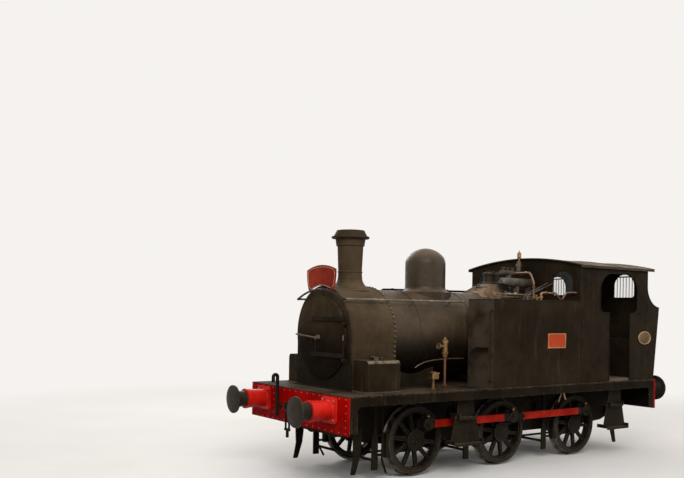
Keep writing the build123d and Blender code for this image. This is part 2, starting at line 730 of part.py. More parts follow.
def boiler_bands():
    solids = []
    for b in (SMOKEBOX_REAR + 30, 1720, 2770, 3370):
        ring = rod_x(b - 25, b + 25, 0, BOILER_Z, BOILER_R + 6)
        solids.append(ring - rod_x(b - 30, b + 30, 0, BOILER_Z, BOILER_R + SEAT))
    return group(solids)


def firebox_casing():
    arch = cross_circle(FIREBOX_R) & cross_rect(FIREBOX_R, BOILER_Z, BOILER_Z + FIREBOX_R)
    shoulder = [(-FIREBOX_R, BOILER_Z), (FIREBOX_R, BOILER_Z), (FIREBOX_R, 1750), (FIREBOX_HALF, 1380)]
    shoulder += [(FIREBOX_HALF, FIREBOX_BOTTOM), (-FIREBOX_HALF, FIREBOX_BOTTOM)]
    shoulder += [(-FIREBOX_HALF, 1380), (-FIREBOX_R, 1750)]
    body = cross_plate(shoulder, FIREBOX_FRONT, FIREBOX_REAR)
    return body + cross_solid(arch, FIREBOX_FRONT, FIREBOX_REAR)


def dome():
    rise = DOME_TOP - DOME_SPRING
    side = DOME_R - DOME_SHOULDER_R
    crown_r = (side ** 2 + rise ** 2 - DOME_SHOULDER_R ** 2) / (2 * (rise - DOME_SHOULDER_R))
    turn = math.degrees(math.atan2(crown_r - rise, side))
    spring = up(DOME_SPRING)
    foot = up(DOME_FOOT)
    low = up(BOILER_Z)
    outline = [
        Line((0, low), (DOME_R + DOME_FLARE, low)),
        Line((DOME_R + DOME_FLARE, low), (DOME_R + DOME_FLARE, foot - DOME_FLARE)),
        CenterArc((DOME_R + DOME_FLARE, foot), DOME_FLARE, 180, 90),
        Line((DOME_R, foot), (DOME_R, spring)),
        CenterArc((side, spring), DOME_SHOULDER_R, 0, turn),
        CenterArc((0, up(DOME_TOP) - crown_r), crown_r, turn, 90 - turn),
        Line((0, up(DOME_TOP)), (0, low)),
    ]
    cover = Pos(back(DOME_BACK), 0, 0) * revolve(Plane.XZ * make_face(outline), Axis.Z)
    return cover - rod_x(DOME_BACK - 600, DOME_BACK + 600, 0, BOILER_Z, BOILER_R + SEAT)


# Tanks, cab and bunker

def side_tank():
    body = block(TANK_FRONT, CAB_FRONT - SEAT, TANK_INNER_Y, SIDE_Y, FOOTPLATE_TOP + SEAT, TANK_TOP)
    edge = body.edges().filter_by(Axis.Z).group_by(Axis.X)[-1].sort_by(Axis.Y)[-1]
    body = fillet(edge, 22)
    low = FOOTPLATE_TOP + 104
    high = TANK_TOP - 160
    rail = pipe([
        (TANK_FRONT + 5, SIDE_Y - 30, high), (TANK_FRONT - 60, SIDE_Y - 30, high),
        (TANK_FRONT - 60, SIDE_Y - 30, low), (TANK_FRONT + 5, SIDE_Y - 30, low),
    ], [30, 30], 13)
    step = block(TANK_FRONT - 110, TANK_FRONT + 5, 880, 1190, 1830, 1840)
    return body + rail + step + lid_seat(TANK_LID_BACK, TANK_LID_Y, TANK_TOP, TANK_LID_R)


def under_roof(gap):
    """Space below the roof sheet, with a gap under it."""
    r = (ROOF_HALF ** 2 + ROOF_RISE ** 2) / (2 * ROOF_RISE)
    centre = EAVE_Z + ROOF_RISE - r
    return rod_x(ROOF_FRONT - 400, ROOF_REAR + 600, 0, centre, r - gap)


def cab_side():
    foot = FOOTPLATE_TOP + SEAT
    edge = Polyline([
        (back(CAB_REAR), up(SWEEP_TOP)), (back(CAB_REAR), up(EAVE_Z + 40)), (back(CAB_FRONT), up(EAVE_Z + 40)),
        (back(CAB_FRONT), up(foot)), (back(BUNKER_FOOT_REAR), up(foot)), (back(BUNKER_TOP_REAR), up(BUNKER_TOP)),
    ])
    sweep_in = ThreePointArc(
        (back(BUNKER_TOP_REAR), up(BUNKER_TOP)), (back(CAB_REAR + SWEEP_DEPTH), up(SWEEP_MIDDLE)),
        (back(CAB_REAR), up(SWEEP_TOP)),
    )
    plane = Plane(origin=(0, SIDE_Y, 0), x_dir=(1, 0, 0), z_dir=(0, -1, 0))
    plate = extrude(plane * make_face([edge, sweep_in]), amount=SHEET) & under_roof(SEAT)
    b0, b1, low, high = UPPER_OPENING
    upper = block(b0, b1, SIDE_Y - 50, SIDE_Y + 50, low, high)
    corners = upper.edges().filter_by(Axis.Y).group_by(Axis.Z)
    upper = fillet(corners[-1], UPPER_CORNER)
    upper = fillet(upper.edges().filter_by(Axis.Y).group_by(Axis.Z)[0], DOORWAY_CORNER)
    return plate - upper - block(*DOORWAY, SIDE_Y - 50, SIDE_Y + 50, FOOTPLATE_TOP - 5, low + 60)


def window_space(b, y, r):
    """Arched window opening through a cab plate."""
    space = rod_x(b - 50, b + 50, y, WINDOW_Z, r)
    low = block(b - 50, b + 50, y - r, y + r, WINDOW_BOTTOM + WINDOW_R - r, WINDOW_Z)
    return space + fillet(low.edges().filter_by(Axis.X).group_by(Axis.Z)[0], 60)


def cab_front():
    half = SIDE_Y - SHEET - SEAT
    foot = FOOTPLATE_TOP + SEAT
    plate = block(CAB_FRONT, CAB_FRONT + SHEET, -half, half, foot, EAVE_Z + ROOF_RISE) & under_roof(SEAT)
    hole = cross_circle(FIREBOX_R + SEAT) + cross_rect(FIREBOX_R + SEAT, FOOTPLATE_TOP - 10, BOILER_Z)
    plate -= cross_solid(hole, CAB_FRONT - 50, CAB_FRONT + 50)
    for y in (-FRONT_WINDOW_Y, FRONT_WINDOW_Y):
        plate -= window_space(CAB_FRONT, y, WINDOW_R)
    return plate


def window_glass():
    panes = []
    for b, y in ((CAB_FRONT + SHEET / 2, FRONT_WINDOW_Y), (CAB_REAR - SHEET / 2, REAR_WINDOW_Y)):
        pane = window_space(b, y, WINDOW_R - SEAT)
        pane &= block(b - GLASS_THICK / 2, b + GLASS_THICK / 2, y - 400, y + 400, WINDOW_BOTTOM - 50, EAVE_Z)
        panes += both(pane)
    return group(panes)


def window_bars():
    solids = []
    b = CAB_REAR - SHEET - SEAT - 16
    for side in (-1, 1):
        y = side * REAR_WINDOW_Y
        left, right = y - WINDOW_R - 30, y + WINDOW_R + 30
        guard = block(b - 6, b + 6, left, right, WINDOW_BOTTOM - 24, WINDOW_BOTTOM - 2)
        guard += block(b - 6, b + 6, left, right, WINDOW_Z + WINDOW_R - 60, WINDOW_Z + WINDOW_R - 38)
        for index in range(7):
            bar_y = y + (index - 3) * 62
            guard += rod_z(WINDOW_BOTTOM - 20, WINDOW_Z + WINDOW_R - 42, b, bar_y, 6)
        for end in (-1, 1):
            edge = y + end * (WINDOW_R + 22)
            guard += block(b, b + 16, edge - 8, edge + 8, WINDOW_BOTTOM - 24, WINDOW_BOTTOM - 2)
            guard += block(b, b + 16, edge - 8, edge + 8, WINDOW_Z + WINDOW_R - 60, WINDOW_Z + WINDOW_R - 38)
        solids.append(guard)
    return group(solids)


def cab_rear():
    half = SIDE_Y - SHEET - SEAT
    plate = block(CAB_REAR - SHEET, CAB_REAR, -half, half, BUNKER_FRONT_TOP, EAVE_Z + ROOF_RISE)
    plate &= under_roof(SEAT)
    for y in (-REAR_WINDOW_Y, REAR_WINDOW_Y):
        plate -= window_space(CAB_REAR, y, WINDOW_R)
    return plate


def cab_floor():
    foot = FOOTPLATE_TOP + SEAT
    half = SIDE_Y - SHEET - SEAT
    return block(FIREBOX_REAR + SEAT, BUNKER_FRONT - SEAT, -half, half, foot, foot + CAB_FLOOR_THICK)


def roof():
    r = (ROOF_HALF ** 2 + ROOF_RISE ** 2) / (2 * ROOF_RISE)
    centre = EAVE_Z + ROOF_RISE - r
    shell = rod_x(ROOF_FRONT, ROOF_REAR, 0, centre, r + ROOF_THICK)
    shell -= rod_x(ROOF_FRONT - 5, ROOF_REAR + 5, 0, centre, r)
    for b0, b1 in ((ROOF_FRONT, ROOF_FRONT + 40), (5480, 5520), (ROOF_REAR - 40, ROOF_REAR)):
        rib = rod_x(b0, b1, 0, centre, r + ROOF_THICK + 8) - rod_x(b0 - 5, b1 + 5, 0, centre, r)
        shell += rib
    shell &= block(ROOF_FRONT, ROOF_REAR, -ROOF_HALF, ROOF_HALF, EAVE_Z - 20, EAVE_Z + ROOF_RISE + 50)
    for side in (-1, 1):
        edge = side * ROOF_HALF
        shell += block(ROOF_FRONT, ROOF_REAR, edge, edge - side * 8, EAVE_Z - ROOF_LIP, EAVE_Z + ROOF_THICK - 2)
    return shell


def bunker():
    half = SIDE_Y - SHEET - SEAT
    foot = FOOTPLATE_TOP + SEAT
    rear = side_plate(
        (
            (BUNKER_FOOT_REAR - SHEET, foot), (BUNKER_TOP_REAR - SHEET, BUNKER_TOP),
            (BUNKER_TOP_REAR, BUNKER_TOP), (BUNKER_FOOT_REAR, foot),
        ),
        -half, half,
    )
    floor = block(BUNKER_FRONT, BUNKER_FOOT_REAR + 40, -half, half, BUNKER_FLOOR, BUNKER_FLOOR + SHEET)
    front = block(BUNKER_FRONT, BUNKER_FRONT + SHEET, -half, half, foot, BUNKER_FRONT_TOP)
    return rear + floor + front


# Fittings

def sandbox():
    low, high = FOOTPLATE_TOP + SEAT, FOOTPLATE_TOP + SAND_HIGH
    box = block(SAND_FRONT, SAND_REAR, SMOKEBOX_HALF + SEAT, SAND_OUTER_Y, low, high)
    edges = box.edges().filter_by(Axis.X).group_by(Axis.Z)[-1].sort_by(Axis.Y)[-1]
    box = fillet(edges, 60)
    return box + lid_seat(SAND_LID_BACK, SAND_LID_Y, FOOTPLATE_TOP + SAND_HIGH, SAND_LID_R)


def sandbox_lid():
    return hinged_lid(SAND_LID_BACK, SAND_LID_Y, FOOTPLATE_TOP + SAND_HIGH, SAND_LID_R)


def tank_lid():
    return hinged_lid(TANK_LID_BACK, TANK_LID_Y, TANK_TOP, TANK_LID_R)


def lid_pin(y, h, r):
    """Y and height of a lid's hinge pin."""
    return y - r - 3 * LID_PIN_R, h + LID_NECK + LID_GAP + LID_THICK / 2


def lid_seat(b, y, h, r):
    """Filler neck with the two lugs and the pin of its lid."""
    pin_y, pin_h = lid_pin(y, h, r)
    seat = rod_z(h - 5, h + LID_NECK, b, y, r - 12)
    seat += rod_x(b - 50, b + 50, pin_y, pin_h, LID_PIN_R)
    for lug in (-40, 40):
        seat += block(b + lug - 8, b + lug + 8, pin_y - 12, pin_y + 12, h - 5, pin_h + 10)
    return seat


def hinged_lid(b, y, h, r):
    pin_y, pin_h = lid_pin(y, h, r)
    low = pin_h - LID_THICK / 2
    lid = rod_z(low, low + LID_THICK, b, y, r)
    lid += block(b - 25, b + 25, pin_y, y, low, low + LID_THICK)
    lid += rod_x(b - 25, b + 25, pin_y, pin_h, LID_PIN_R + 7)
    return lid - rod_x(b - 30, b + 30, pin_y, pin_h, LID_PIN_R + SEAT)


def steps():
    solids = []
    inner = STEP_Y - STEP_DEPTH
    for middle in (STEP_FRONT, STEP_REAR):
        upper = ((middle - 150, 1090 - SEAT), (middle - 170, 830), (middle + 170, 830), (middle + 150, 1090 - SEAT))
        lower = ((middle - 200, 840), (middle - 285, 470), (middle + 285, 470), (middle + 200, 840))
        plate = side_plate(upper, STEP_Y, STEP_Y + 10) + side_plate(lower, STEP_Y, STEP_Y + 10)
        top = FOOTPLATE_TOP - FOOTPLATE_THICK - SEAT
        plate += block(middle - 150, middle + 150, STEP_Y - 20, STEP_Y + 20, VALANCE_BOTTOM - 20, top)
        for h, ahead, behind in TREADS:
            b0 = middle - ahead
            b1 = middle + behind
            plate += block(b0, b1, inner, STEP_Y + STEP_LIP, h, h + 12)
            plate += block(b0, b1, STEP_Y + STEP_LIP - 8, STEP_Y + STEP_LIP, h - 22, h + 12)
            plate += block(b0, b0 + 8, inner, STEP_Y + STEP_LIP, h, h + 60)
            plate += block(b1 - 8, b1, inner, STEP_Y + STEP_LIP, h, h + 60)
        plate += block(middle - 285, middle + 285, STEP_Y, STEP_Y + 10, 440, 480)
        solids += both(plate)
    return group(solids)


def handrails():
    front = SMOKEBOX_FRONT - HANDRAIL_OUT
    reach = math.hypot(HANDRAIL_Y, HANDRAIL_Z - BOILER_Z)
    rail = rod_x(front, TANK_FRONT - SEAT, HANDRAIL_Y, HANDRAIL_Z, HANDRAIL_R)
    for b, surface in HANDRAIL_POSTS:
        share = (surface + SEAT) / reach
        foot = (b, HANDRAIL_Y * share, BOILER_Z + (HANDRAIL_Z - BOILER_Z) * share)
        rail += pipe([foot, (b, HANDRAIL_Y, HANDRAIL_Z)], [], 11)
        rail += Pos(back(b), HANDRAIL_Y, up(HANDRAIL_Z)) * Sphere(24)
    rail += Pos(back(front), HANDRAIL_Y, up(HANDRAIL_Z)) * Sphere(HANDRAIL_R + 4)
    arch_r = (HANDRAIL_Y ** 2 + HANDRAIL_RISE ** 2) / (2 * HANDRAIL_RISE)
    half = math.degrees(math.asin(HANDRAIL_Y / arch_r))
    ring = revolve(Plane.XZ * Pos(0, arch_r) * Circle(HANDRAIL_R), Axis.X, revolution_arc=2 * half)
    centre = Pos(back(front), 0, up(HANDRAIL_Z + HANDRAIL_RISE) - arch_r)
    turns = [centre * Rot(way * half, 0, 0) * ring for way in (-1, 1)]
    arch = max(turns, key=lambda shape: -abs(shape.center().Y))
    return rail + flip(rail) + arch


def headboard():
    """Blank board on the lamp iron at the top of the smokebox."""
    b = SMOKEBOX_FRONT - BOARD_OUT
    top = ThreePointArc((-375, up(2928)), (0, up(2997)), (375, up(2928)))
    right = ThreePointArc((375, up(2928)), (368, up(2775)), (315, up(2617)))
    low = ThreePointArc((315, up(2617)), (0, up(BOARD_LOW)), (-315, up(2617)))
    left = ThreePointArc((-315, up(2617)), (-368, up(2775)), (-375, up(2928)))
    plane = Plane(origin=(back(b), 0, 0), x_dir=(0, 1, 0), z_dir=(1, 0, 0))
    board = extrude(plane * make_face([top, right, low, left]), amount=BOARD_THICK)
    crown = BOILER_Z + SMOKEBOX_R
    iron = block(b - 1, b + 11, -25, 25, crown - 6, 2860)
    iron += block(b, SMOKEBOX_FRONT + 60, -25, 25, crown - 6, crown + 10)
    return board + iron - rod_x(SMOKEBOX_FRONT - 1, SMOKEBOX_REAR, 0, BOILER_Z, crown - BOILER_Z + SEAT)


def number_plates():
    b0, b1, low, high = NUMBER_PLATE
    plate = block(b0, b1, SIDE_Y + SEAT, SIDE_Y + 9, low, high)
    return group(both(plate))


def works_plates():
    b, h = WORKS_PLATE
    plane = Plane(origin=(back(b), SIDE_Y + 8, up(h)), x_dir=(1, 0, 0), z_dir=(0, -1, 0))
    oval = extrude(plane * Ellipse(178, 116), amount=8 - SEAT)
    return group(both(oval))


def safety_valves():
    """Two valve columns with their lever on a tapered casing, and a hand-wheel valve on its front slope."""
    front, rear, half = VALVE_CASE
    top_front = VALVE_BACK[0] - 120
    top_rear = VALVE_BACK[1] + 120
    low = Plane(origin=(back((front + rear) / 2), 0, up(VALVE_CASE_Z))) * Rectangle(rear - front, 2 * half)
    crest = Plane(origin=(back((top_front + top_rear) / 2), 0, up(VALVE_SEAT_Z)))
    seat = loft([low, crest * Rectangle(top_rear - top_front, 240)], ruled=True)
    h = VALVE_SEAT_Z - 130
    b = VALVE_CASE[0] + 258
    seat += turned(((0, h), (34, h), (34, h + 66), (9, h + 72), (9, h + 112), (0, h + 112)), b, 0)
    seat += rod_z(h + 96, h + 108, b, 0, 60) - rod_z(h + 90, h + 114, b, 0, 47)
    seat += block(b - 56, b + 56, -7, 7, h + 97, h + 107) + block(b - 7, b + 7, -56, 56, h + 97, h + 107)
    seat -= rod_x(front - 50, FIREBOX_FRONT - SEAT, 0, BOILER_Z, BOILER_R + 6 + SEAT)
    seat -= rod_x(FIREBOX_FRONT - SEAT, rear + 50, 0, BOILER_Z, FIREBOX_R + SEAT)
    low = VALVE_SEAT_Z - 5
    high = low + VALVE_HIGH
    profile = (
        (0, low), (88, low), (88, low + 30), (70, low + 44), (70, high - 60), (86, high - 48), (86, high - 14),
        (40, high), (0, high),
    )
    for b in VALVE_BACK:
        seat += turned(profile, b, 0)
        seat += rod_z(high - 5, high + 14, b, 0, 14)
    seat += block(VALVE_BACK[0] - 40, VALVE_BACK[1] + 50, -14, 14, high + 8, high + 26)
    middle = sum(VALVE_BACK) / 2
    seat += rod_z(low, high + 12, middle, 0, 22)
    return seat


def whistle():
    low = WHISTLE_Z
    profile = (
        (0, low), (22, low), (22, low + 12), (14, low + 20), (14, low + 44), (36, low + 52), (36, low + 64),
        (26, low + 70), (36, low + 76), (36, low + 146), (24, low + 158),
        (9, low + 164), (9, low + 190), (0, low + 194),
    )
    return turned(profile, WHISTLE_BACK, 0)


def turret():
    """Steam stand on the firebox ahead of the cab, with its valve spindles and the whistle valve."""
    crown = BOILER_Z + FIREBOX_R
    body = rod_x(TURRET_FRONT, WHISTLE_BACK + 30, 0, TURRET_Z, TURRET_R)
    body += rod_x(WHISTLE_BACK, CAB_FRONT - SEAT, 0, TURRET_Z, 30)
    stem = rod_z(crown - 20, TURRET_Z, TURRET_FRONT + 200, 0, 42)
    body += stem - rod_x(TURRET_FRONT, CAB_FRONT, 0, BOILER_Z, FIREBOX_R + SEAT)
    body += rod_z(TURRET_Z, WHISTLE_Z - SEAT, WHISTLE_BACK, 0, 40)
    body += rod_z(WHISTLE_Z - 90, WHISTLE_Z - 50, WHISTLE_BACK, 0, 56)
    for b in (TURRET_FRONT + 60, TURRET_FRONT + 170, TURRET_FRONT + 290):
        body += rod_z(TURRET_Z, TURRET_Z + 92, b, 0, 11) + rod_z(TURRET_Z + 30, TURRET_Z + 60, b, 0, 26)
        body += rod_z(TURRET_Z + 84, TURRET_Z + 94, b, 0, 36)
    return body


def steam_manifold():
    """Round casing along the firebox top and the stand below it."""
    front, rear = MANIFOLD
    length = rear - front
    body = turned_x(
        ((0, 0), (0, MANIFOLD_R), (length - 40, MANIFOLD_R), (length, MANIFOLD_R - 24), (length, 0)),
        rear, MANIFOLD_Y, MANIFOLD_Z,
    )
    under = (
        (front - 10, MANIFOLD_Z - 20), (front + 200, MANIFOLD_Z - MANIFOLD_R),
        (front - 10, MANIFOLD_Z - 2 * MANIFOLD_R),
    )
    body -= side_plate(under, MANIFOLD_Y - 150, MANIFOLD_Y + 150)
    body += rod_x(rear - 5, CAB_FRONT - SEAT, MANIFOLD_Y, MANIFOLD_Z, 36)
    for b in (front + 375, rear - 70):
        stand = block(b - 30, b + 30, MANIFOLD_Y - 40, MANIFOLD_Y + 40, BOILER_Z + 560, MANIFOLD_Z)
        body += stand - rod_x(b - 50, b + 50, 0, BOILER_Z, FIREBOX_R + SEAT)
    return body


def control_rods():
    """Rods from the cab front down to the valves on the tank top."""
    beyond = block(CAB_FRONT - SEAT, CAB_FRONT + 200, 400, 900, TANK_TOP, EAVE_Z)
    end = TANK_TOP + 82
    low = pipe([(3740, 850, end), (CAB_FRONT + 20, 654, TANK_TOP + 306)], [], 11) - beyond
    low += rod_z(TANK_TOP + SEAT, end + 8, 3740, 850, 20)
    high = pipe([(3760, 760, end), (CAB_FRONT + 20, 568, TANK_TOP + 324)], [], 11) - beyond
    high += rod_z(TANK_TOP + SEAT, end + 28, 3760, 760, 20)
    high += rod_x(3140, 3760, 760, end + 15, 11)
    high += rod_z(TANK_TOP + SEAT, end + 26, 3150, 760, 14) + rod_z(TANK_TOP + SEAT, end + 66, 3337, 760, 14)
    return group([low, high])


def exhaust_pipe():
    """Ejector exhaust along the right side of the boiler top."""
    y, h = -470, 2560
    run = pipe([(CAB_FRONT - SEAT, y, h), (1060, y, h), (1060, y + 90, h - 60)], [70], 32)
    run -= rod_x(SMOKEBOX_FRONT, SMOKEBOX_REAR, 0, BOILER_Z, SMOKEBOX_R + SEAT)
    return run


def clack_valves():
    b, y, h = 2020, 760, 1830
    body = pipe([(b, BOILER_R * 0.97 + 2, h + 20), (b, y + 60, h + 20)], [], 26)
    body -= rod_x(b - 100, b + 100, 0, BOILER_Z, BOILER_R + SEAT)
    body += rod_z(h - 90, h + 60, b, y + 60, 40) + rod_z(h + 60, h + 84, b, y + 60, 52)
    body += rod_z(h - 90, h - 70, b, y + 60, 52)
    body += pipe([(b, y + 60, h + 10), (b - 110, y + 60, h + 10)], [], 22)
    body += rod_x(b - 110, b - 125, y + 60, h + 10, 38)
    feed = rod_z(FOOTPLATE_TOP + SEAT, h - 85, b, y + 60, 21)
    return group(both(body + feed))


def oil_boxes():
    low = FOOTPLATE_TOP + SEAT
    profile = ((0, low), (48, low), (48, low + 10), (24, low + 22), (22, low + 150), (0, low + 150))
    column = turned(profile, 1700, 930)
    box = block(1640, 1760, 875, 985, low + 150, low + 225)
    lid = block(1630, 1770, 865, 995, low + 225, low + 243)
    return group(both(column + box + lid))


def tank_valve():
    """Small valve on the tank top beside the control rods."""
    low = TANK_TOP + SEAT
    valve = rod_x(3792, 3990, 900, TANK_TOP + 44, 27) + rod_z(low, TANK_TOP + 44, 3890, 900, 30)
    return valve + rod_z(TANK_TOP + 44, TANK_TOP + 88, 3890, 900, 14) + rod_z(TANK_TOP + 86, TANK_TOP + 96, 3890, 900, 34)


def copper_pipes():
    level = TANK_TOP + 130
    cab = CAB_FRONT - 56
    feed = pipe([
        (3890, 1000, TANK_TOP + SEAT), (3890, 1000, level), (4240, 1000, level),
        (4330, 1000, level - 95), (4400, 1000, level - 95),
        (cab, 1000, level + 15), (cab, 1190, level + 15),
    ], [40, 45, 45, 45, 40], 16)
    feed += pipe([(cab, 1180, level + 15), (CAB_FRONT - SEAT, 1180, level + 15)], [], 14)
    feed += rod_z(TANK_TOP + SEAT, TANK_TOP + 14, 3890, 1000, 50)
    start = TURRET_R + SEAT
    points = [(4300, start, TURRET_Z), (4300, 400, TURRET_Z), (4300, 480, 2860), (4300, 480, 2400)]
    loop = pipe(points, [90, 60], 19)
    loop -= rod_x(4200, 4400, 0, BOILER_Z, FIREBOX_R + SEAT)
    return group([feed, loop])


def injector_pipes():
    pipes = []
    top = (4320, 1090, FOOTPLATE_TOP - FOOTPLATE_THICK - SEAT)
    vee = pipe([top, (4320, 1090, 1130), (4230, 1090, 930)], [40], 14)
    vee += pipe([(4320, 1090, 1150), (4400, 1090, 960)], [], 14)
    pipes += both(vee)
    return group(pipes)


def vacuum_pipes():
    solids = []
    for face, facing in ((BEAM_FRONT, 1), (BEAM_REAR, -1)):
        y = -410 * facing
        out = facing * -1
        reach = face + out * 60
        points = [(reach, y, 800), (reach, y, 1400), (face + out * 130, y, 1400), (face + out * 130, y, 1290)]
        stand = pipe(points, [34, 34], 26)
        stand += block(face + out * SEAT, face + out * 62, y - 45, y + 45, 930, 960)
        solids.append(stand)
    return group(solids)


def backhead_fittings():
    """Fire door, regulator, gauge glasses and dials on the firebox back."""
    face = FIREBOX_REAR + SEAT
    door = block(face, face + 30, -190, 190, 1560, 1830)
    door += block(face + 20, face + 55, -150, 150, 1590, 1800)
    regulator = rod_x(face, face + 90, 0, 2330, 34) + rod_y(-20, 300, face + 80, 2340, 13)
    solids = [door, regulator]
    for y in (-330, 330):
        glass = rod_x(face, face + 60, y, 2060, 22) + rod_x(face, face + 60, y, 2330, 22)
        glass += rod_z(2050, 2340, face + 52, y, 13)
        solids.append(glass)
    return group(solids)


def cab_controls():
    """Reversing lever, hand brake column and their stands on the floor."""
    foot = FOOTPLATE_TOP + CAB_FLOOR_THICK + 2 * SEAT
    lever = block(4820, 5180, -560, -540, foot, foot + 60)
    arm = ((5000, foot + 40), (5060, foot + 40), (5160, foot + 900), (5120, foot + 910))
    lever += side_plate(arm, -580, -560)
    b, y = HAND_BRAKE
    brake = rod_z(foot, foot + 820, b, y, 26) + rod_z(foot, foot + 20, b, y, 90)
    brake += rod_y(y - 150, y + 150, b, foot + 820, 15) + rod_z(foot + 820, foot + 920, b, y + 140, 16)
    return group([lever, brake])


NODES = {
    "main_frames": group(list(main_frames()) + list(boiler_cradles())),
    "frame_stretchers": frame_stretchers(),
    "axleboxes": axleboxes(),
    "leaf_springs": leaf_springs(),
    "cylinder_block": cylinder_block(),
    "guard_irons": guard_irons(),
    "brake_gear": group(list(brake_gear()) + list(sand_pipes())),
    "ashpan": ashpan(),
    "footplate": footplate(),
    "valances": valances(),
    "front_beam": beam("front"),
    "rear_beam": beam("rear"),
    "buffer_sockets": buffer_sockets(),
    "buffer_heads": buffer_heads(),
    "draw_gear": draw_gear(),
    "vacuum_pipes": vacuum_pipes(),
    "smokebox": smokebox(),
    "smokebox_door": smokebox_door(),
    "door_fittings": group(list(door_straps()) + [door_dart()]),
    "door_hinge_post": door_hinge_post(),
    "blast_pipe": blast_pipe(),
    "chimney": chimney(),
    "boiler_barrel": boiler_barrel(),
    "boiler_bands": boiler_bands(),
    "firebox_casing": firebox_casing(),
    "dome": dome(),
    "safety_valves": safety_valves(),
    "steam_fittings": group([steam_manifold(), turret(), exhaust_pipe()] + list(control_rods())),
    "brass_fittings": group([whistle(), tank_valve()] + list(clack_valves()) + list(oil_boxes())),
    "copper_pipes": group(list(copper_pipes()) + list(injector_pipes())),
    "handrails": handrails(),
    "headboard": headboard(),
    "side_tank_left": side_tank(),
    "side_tank_right": flip(side_tank()),
    "tank_lid_left": tank_lid(),
    "tank_lid_right": flip(tank_lid()),
    "cab_side_left": cab_side(),
    "cab_side_right": flip(cab_side()),
    "cab_front": cab_front(),
    "cab_rear": group([cab_rear()] + list(window_bars())),
    "window_glass": window_glass(),
    "cab_floor": cab_floor(),
    "cab_fittings": group(list(backhead_fittings()) + list(cab_controls())),
    "roof": roof(),
    "bunker": bunker(),
    "number_plates": number_plates(),
    "works_plates": works_plates(),
    "sandboxes": group(both(sandbox())),
    "sandbox_lid_left": sandbox_lid(),
    "sandbox_lid_right": flip(sandbox_lid()),
    "steps": steps(),
    "coupling_rod_left": coupling_rod("left"),
    "coupling_rod_right": coupling_rod("right"),
}
for axle in AXLE_BACK:
    NODES["axle_" + axle] = axle_shaft(axle)
    NODES["wheels_" + axle] = group(wheel_at(side, axle) for side in SIDES)

os.makedirs("parts", exist_ok=True)
for name, shape in NODES.items():
    export_step(shape, "parts/" + name + ".step")
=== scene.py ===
import math

import bmesh
import bpy
from mathutils import Matrix, Vector


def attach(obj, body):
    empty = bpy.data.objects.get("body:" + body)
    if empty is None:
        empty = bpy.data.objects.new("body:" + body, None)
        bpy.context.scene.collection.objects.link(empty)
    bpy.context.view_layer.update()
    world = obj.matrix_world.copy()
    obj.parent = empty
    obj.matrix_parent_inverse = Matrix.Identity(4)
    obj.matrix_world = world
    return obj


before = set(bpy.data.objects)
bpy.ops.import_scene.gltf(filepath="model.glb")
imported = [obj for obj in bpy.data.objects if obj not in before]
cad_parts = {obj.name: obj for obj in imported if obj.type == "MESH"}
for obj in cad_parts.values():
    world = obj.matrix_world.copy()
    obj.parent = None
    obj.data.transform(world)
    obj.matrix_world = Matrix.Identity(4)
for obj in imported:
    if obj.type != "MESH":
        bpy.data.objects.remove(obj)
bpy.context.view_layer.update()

# Places in the part's own terms: mm back from a datum just behind the front beam's face, mm left,
# mm above the rail
HALF_LENGTH = 3251.0
BEAM_FACES = (-51.0, 6553.0)
RAIL = 28.0
BOILER_Z = 2000.0
SMOKEBOX_R = 700.0
SMOKEBOX_HALF = 688.0
FOOTPLATE = 1226.0
TANK_TOP = 2545.0
TANK_FRONT = 2600.0
CAB_FRONT = 4546.0
CAB_REAR = 6345.0
SIDE_Y = 1245.0
AXLES = {"leading": 1483.0, "driving": 3224.0, "trailing": 4965.0}
WHEEL_R = 490.0
CRANK_R = 271.0
CRANK_ANGLE = {"left": 117.0, "right": 27.0}
ROD_Y = 946.0
ROD_FACE_Y = ROD_Y + 25.0
AXLE_END_Y = 836.0
PIN_END_Y = 985.0
BUFFER_Y = 870.0
BUFFER_Z = 1022.0
SAND_FRONT = 455.0
SAND_REAR = 1005.0
SAND_OUTER_Y = 1031.0
CLACK = (2020.0, 820.0)
CLACK_WHEEL = (1893.0, 820.0, 1840.0)
CLACK_WHEEL_R = 44.0
VALVE_WHEEL = 3453.0
SIDES = {"left": 1, "right": -1}

BACKDROP = (0.92, 0.895, 0.865, 1)

X = Vector((1, 0, 0))
Y = Vector((0, 1, 0))
Z = Vector((0, 0, 1))


def at(b, y, h):
    """A place in the part's own terms as metres in the shared frame."""
    return Vector(((HALF_LENGTH - b) / 1000, y / 1000, (h + RAIL) / 1000))


# Materials

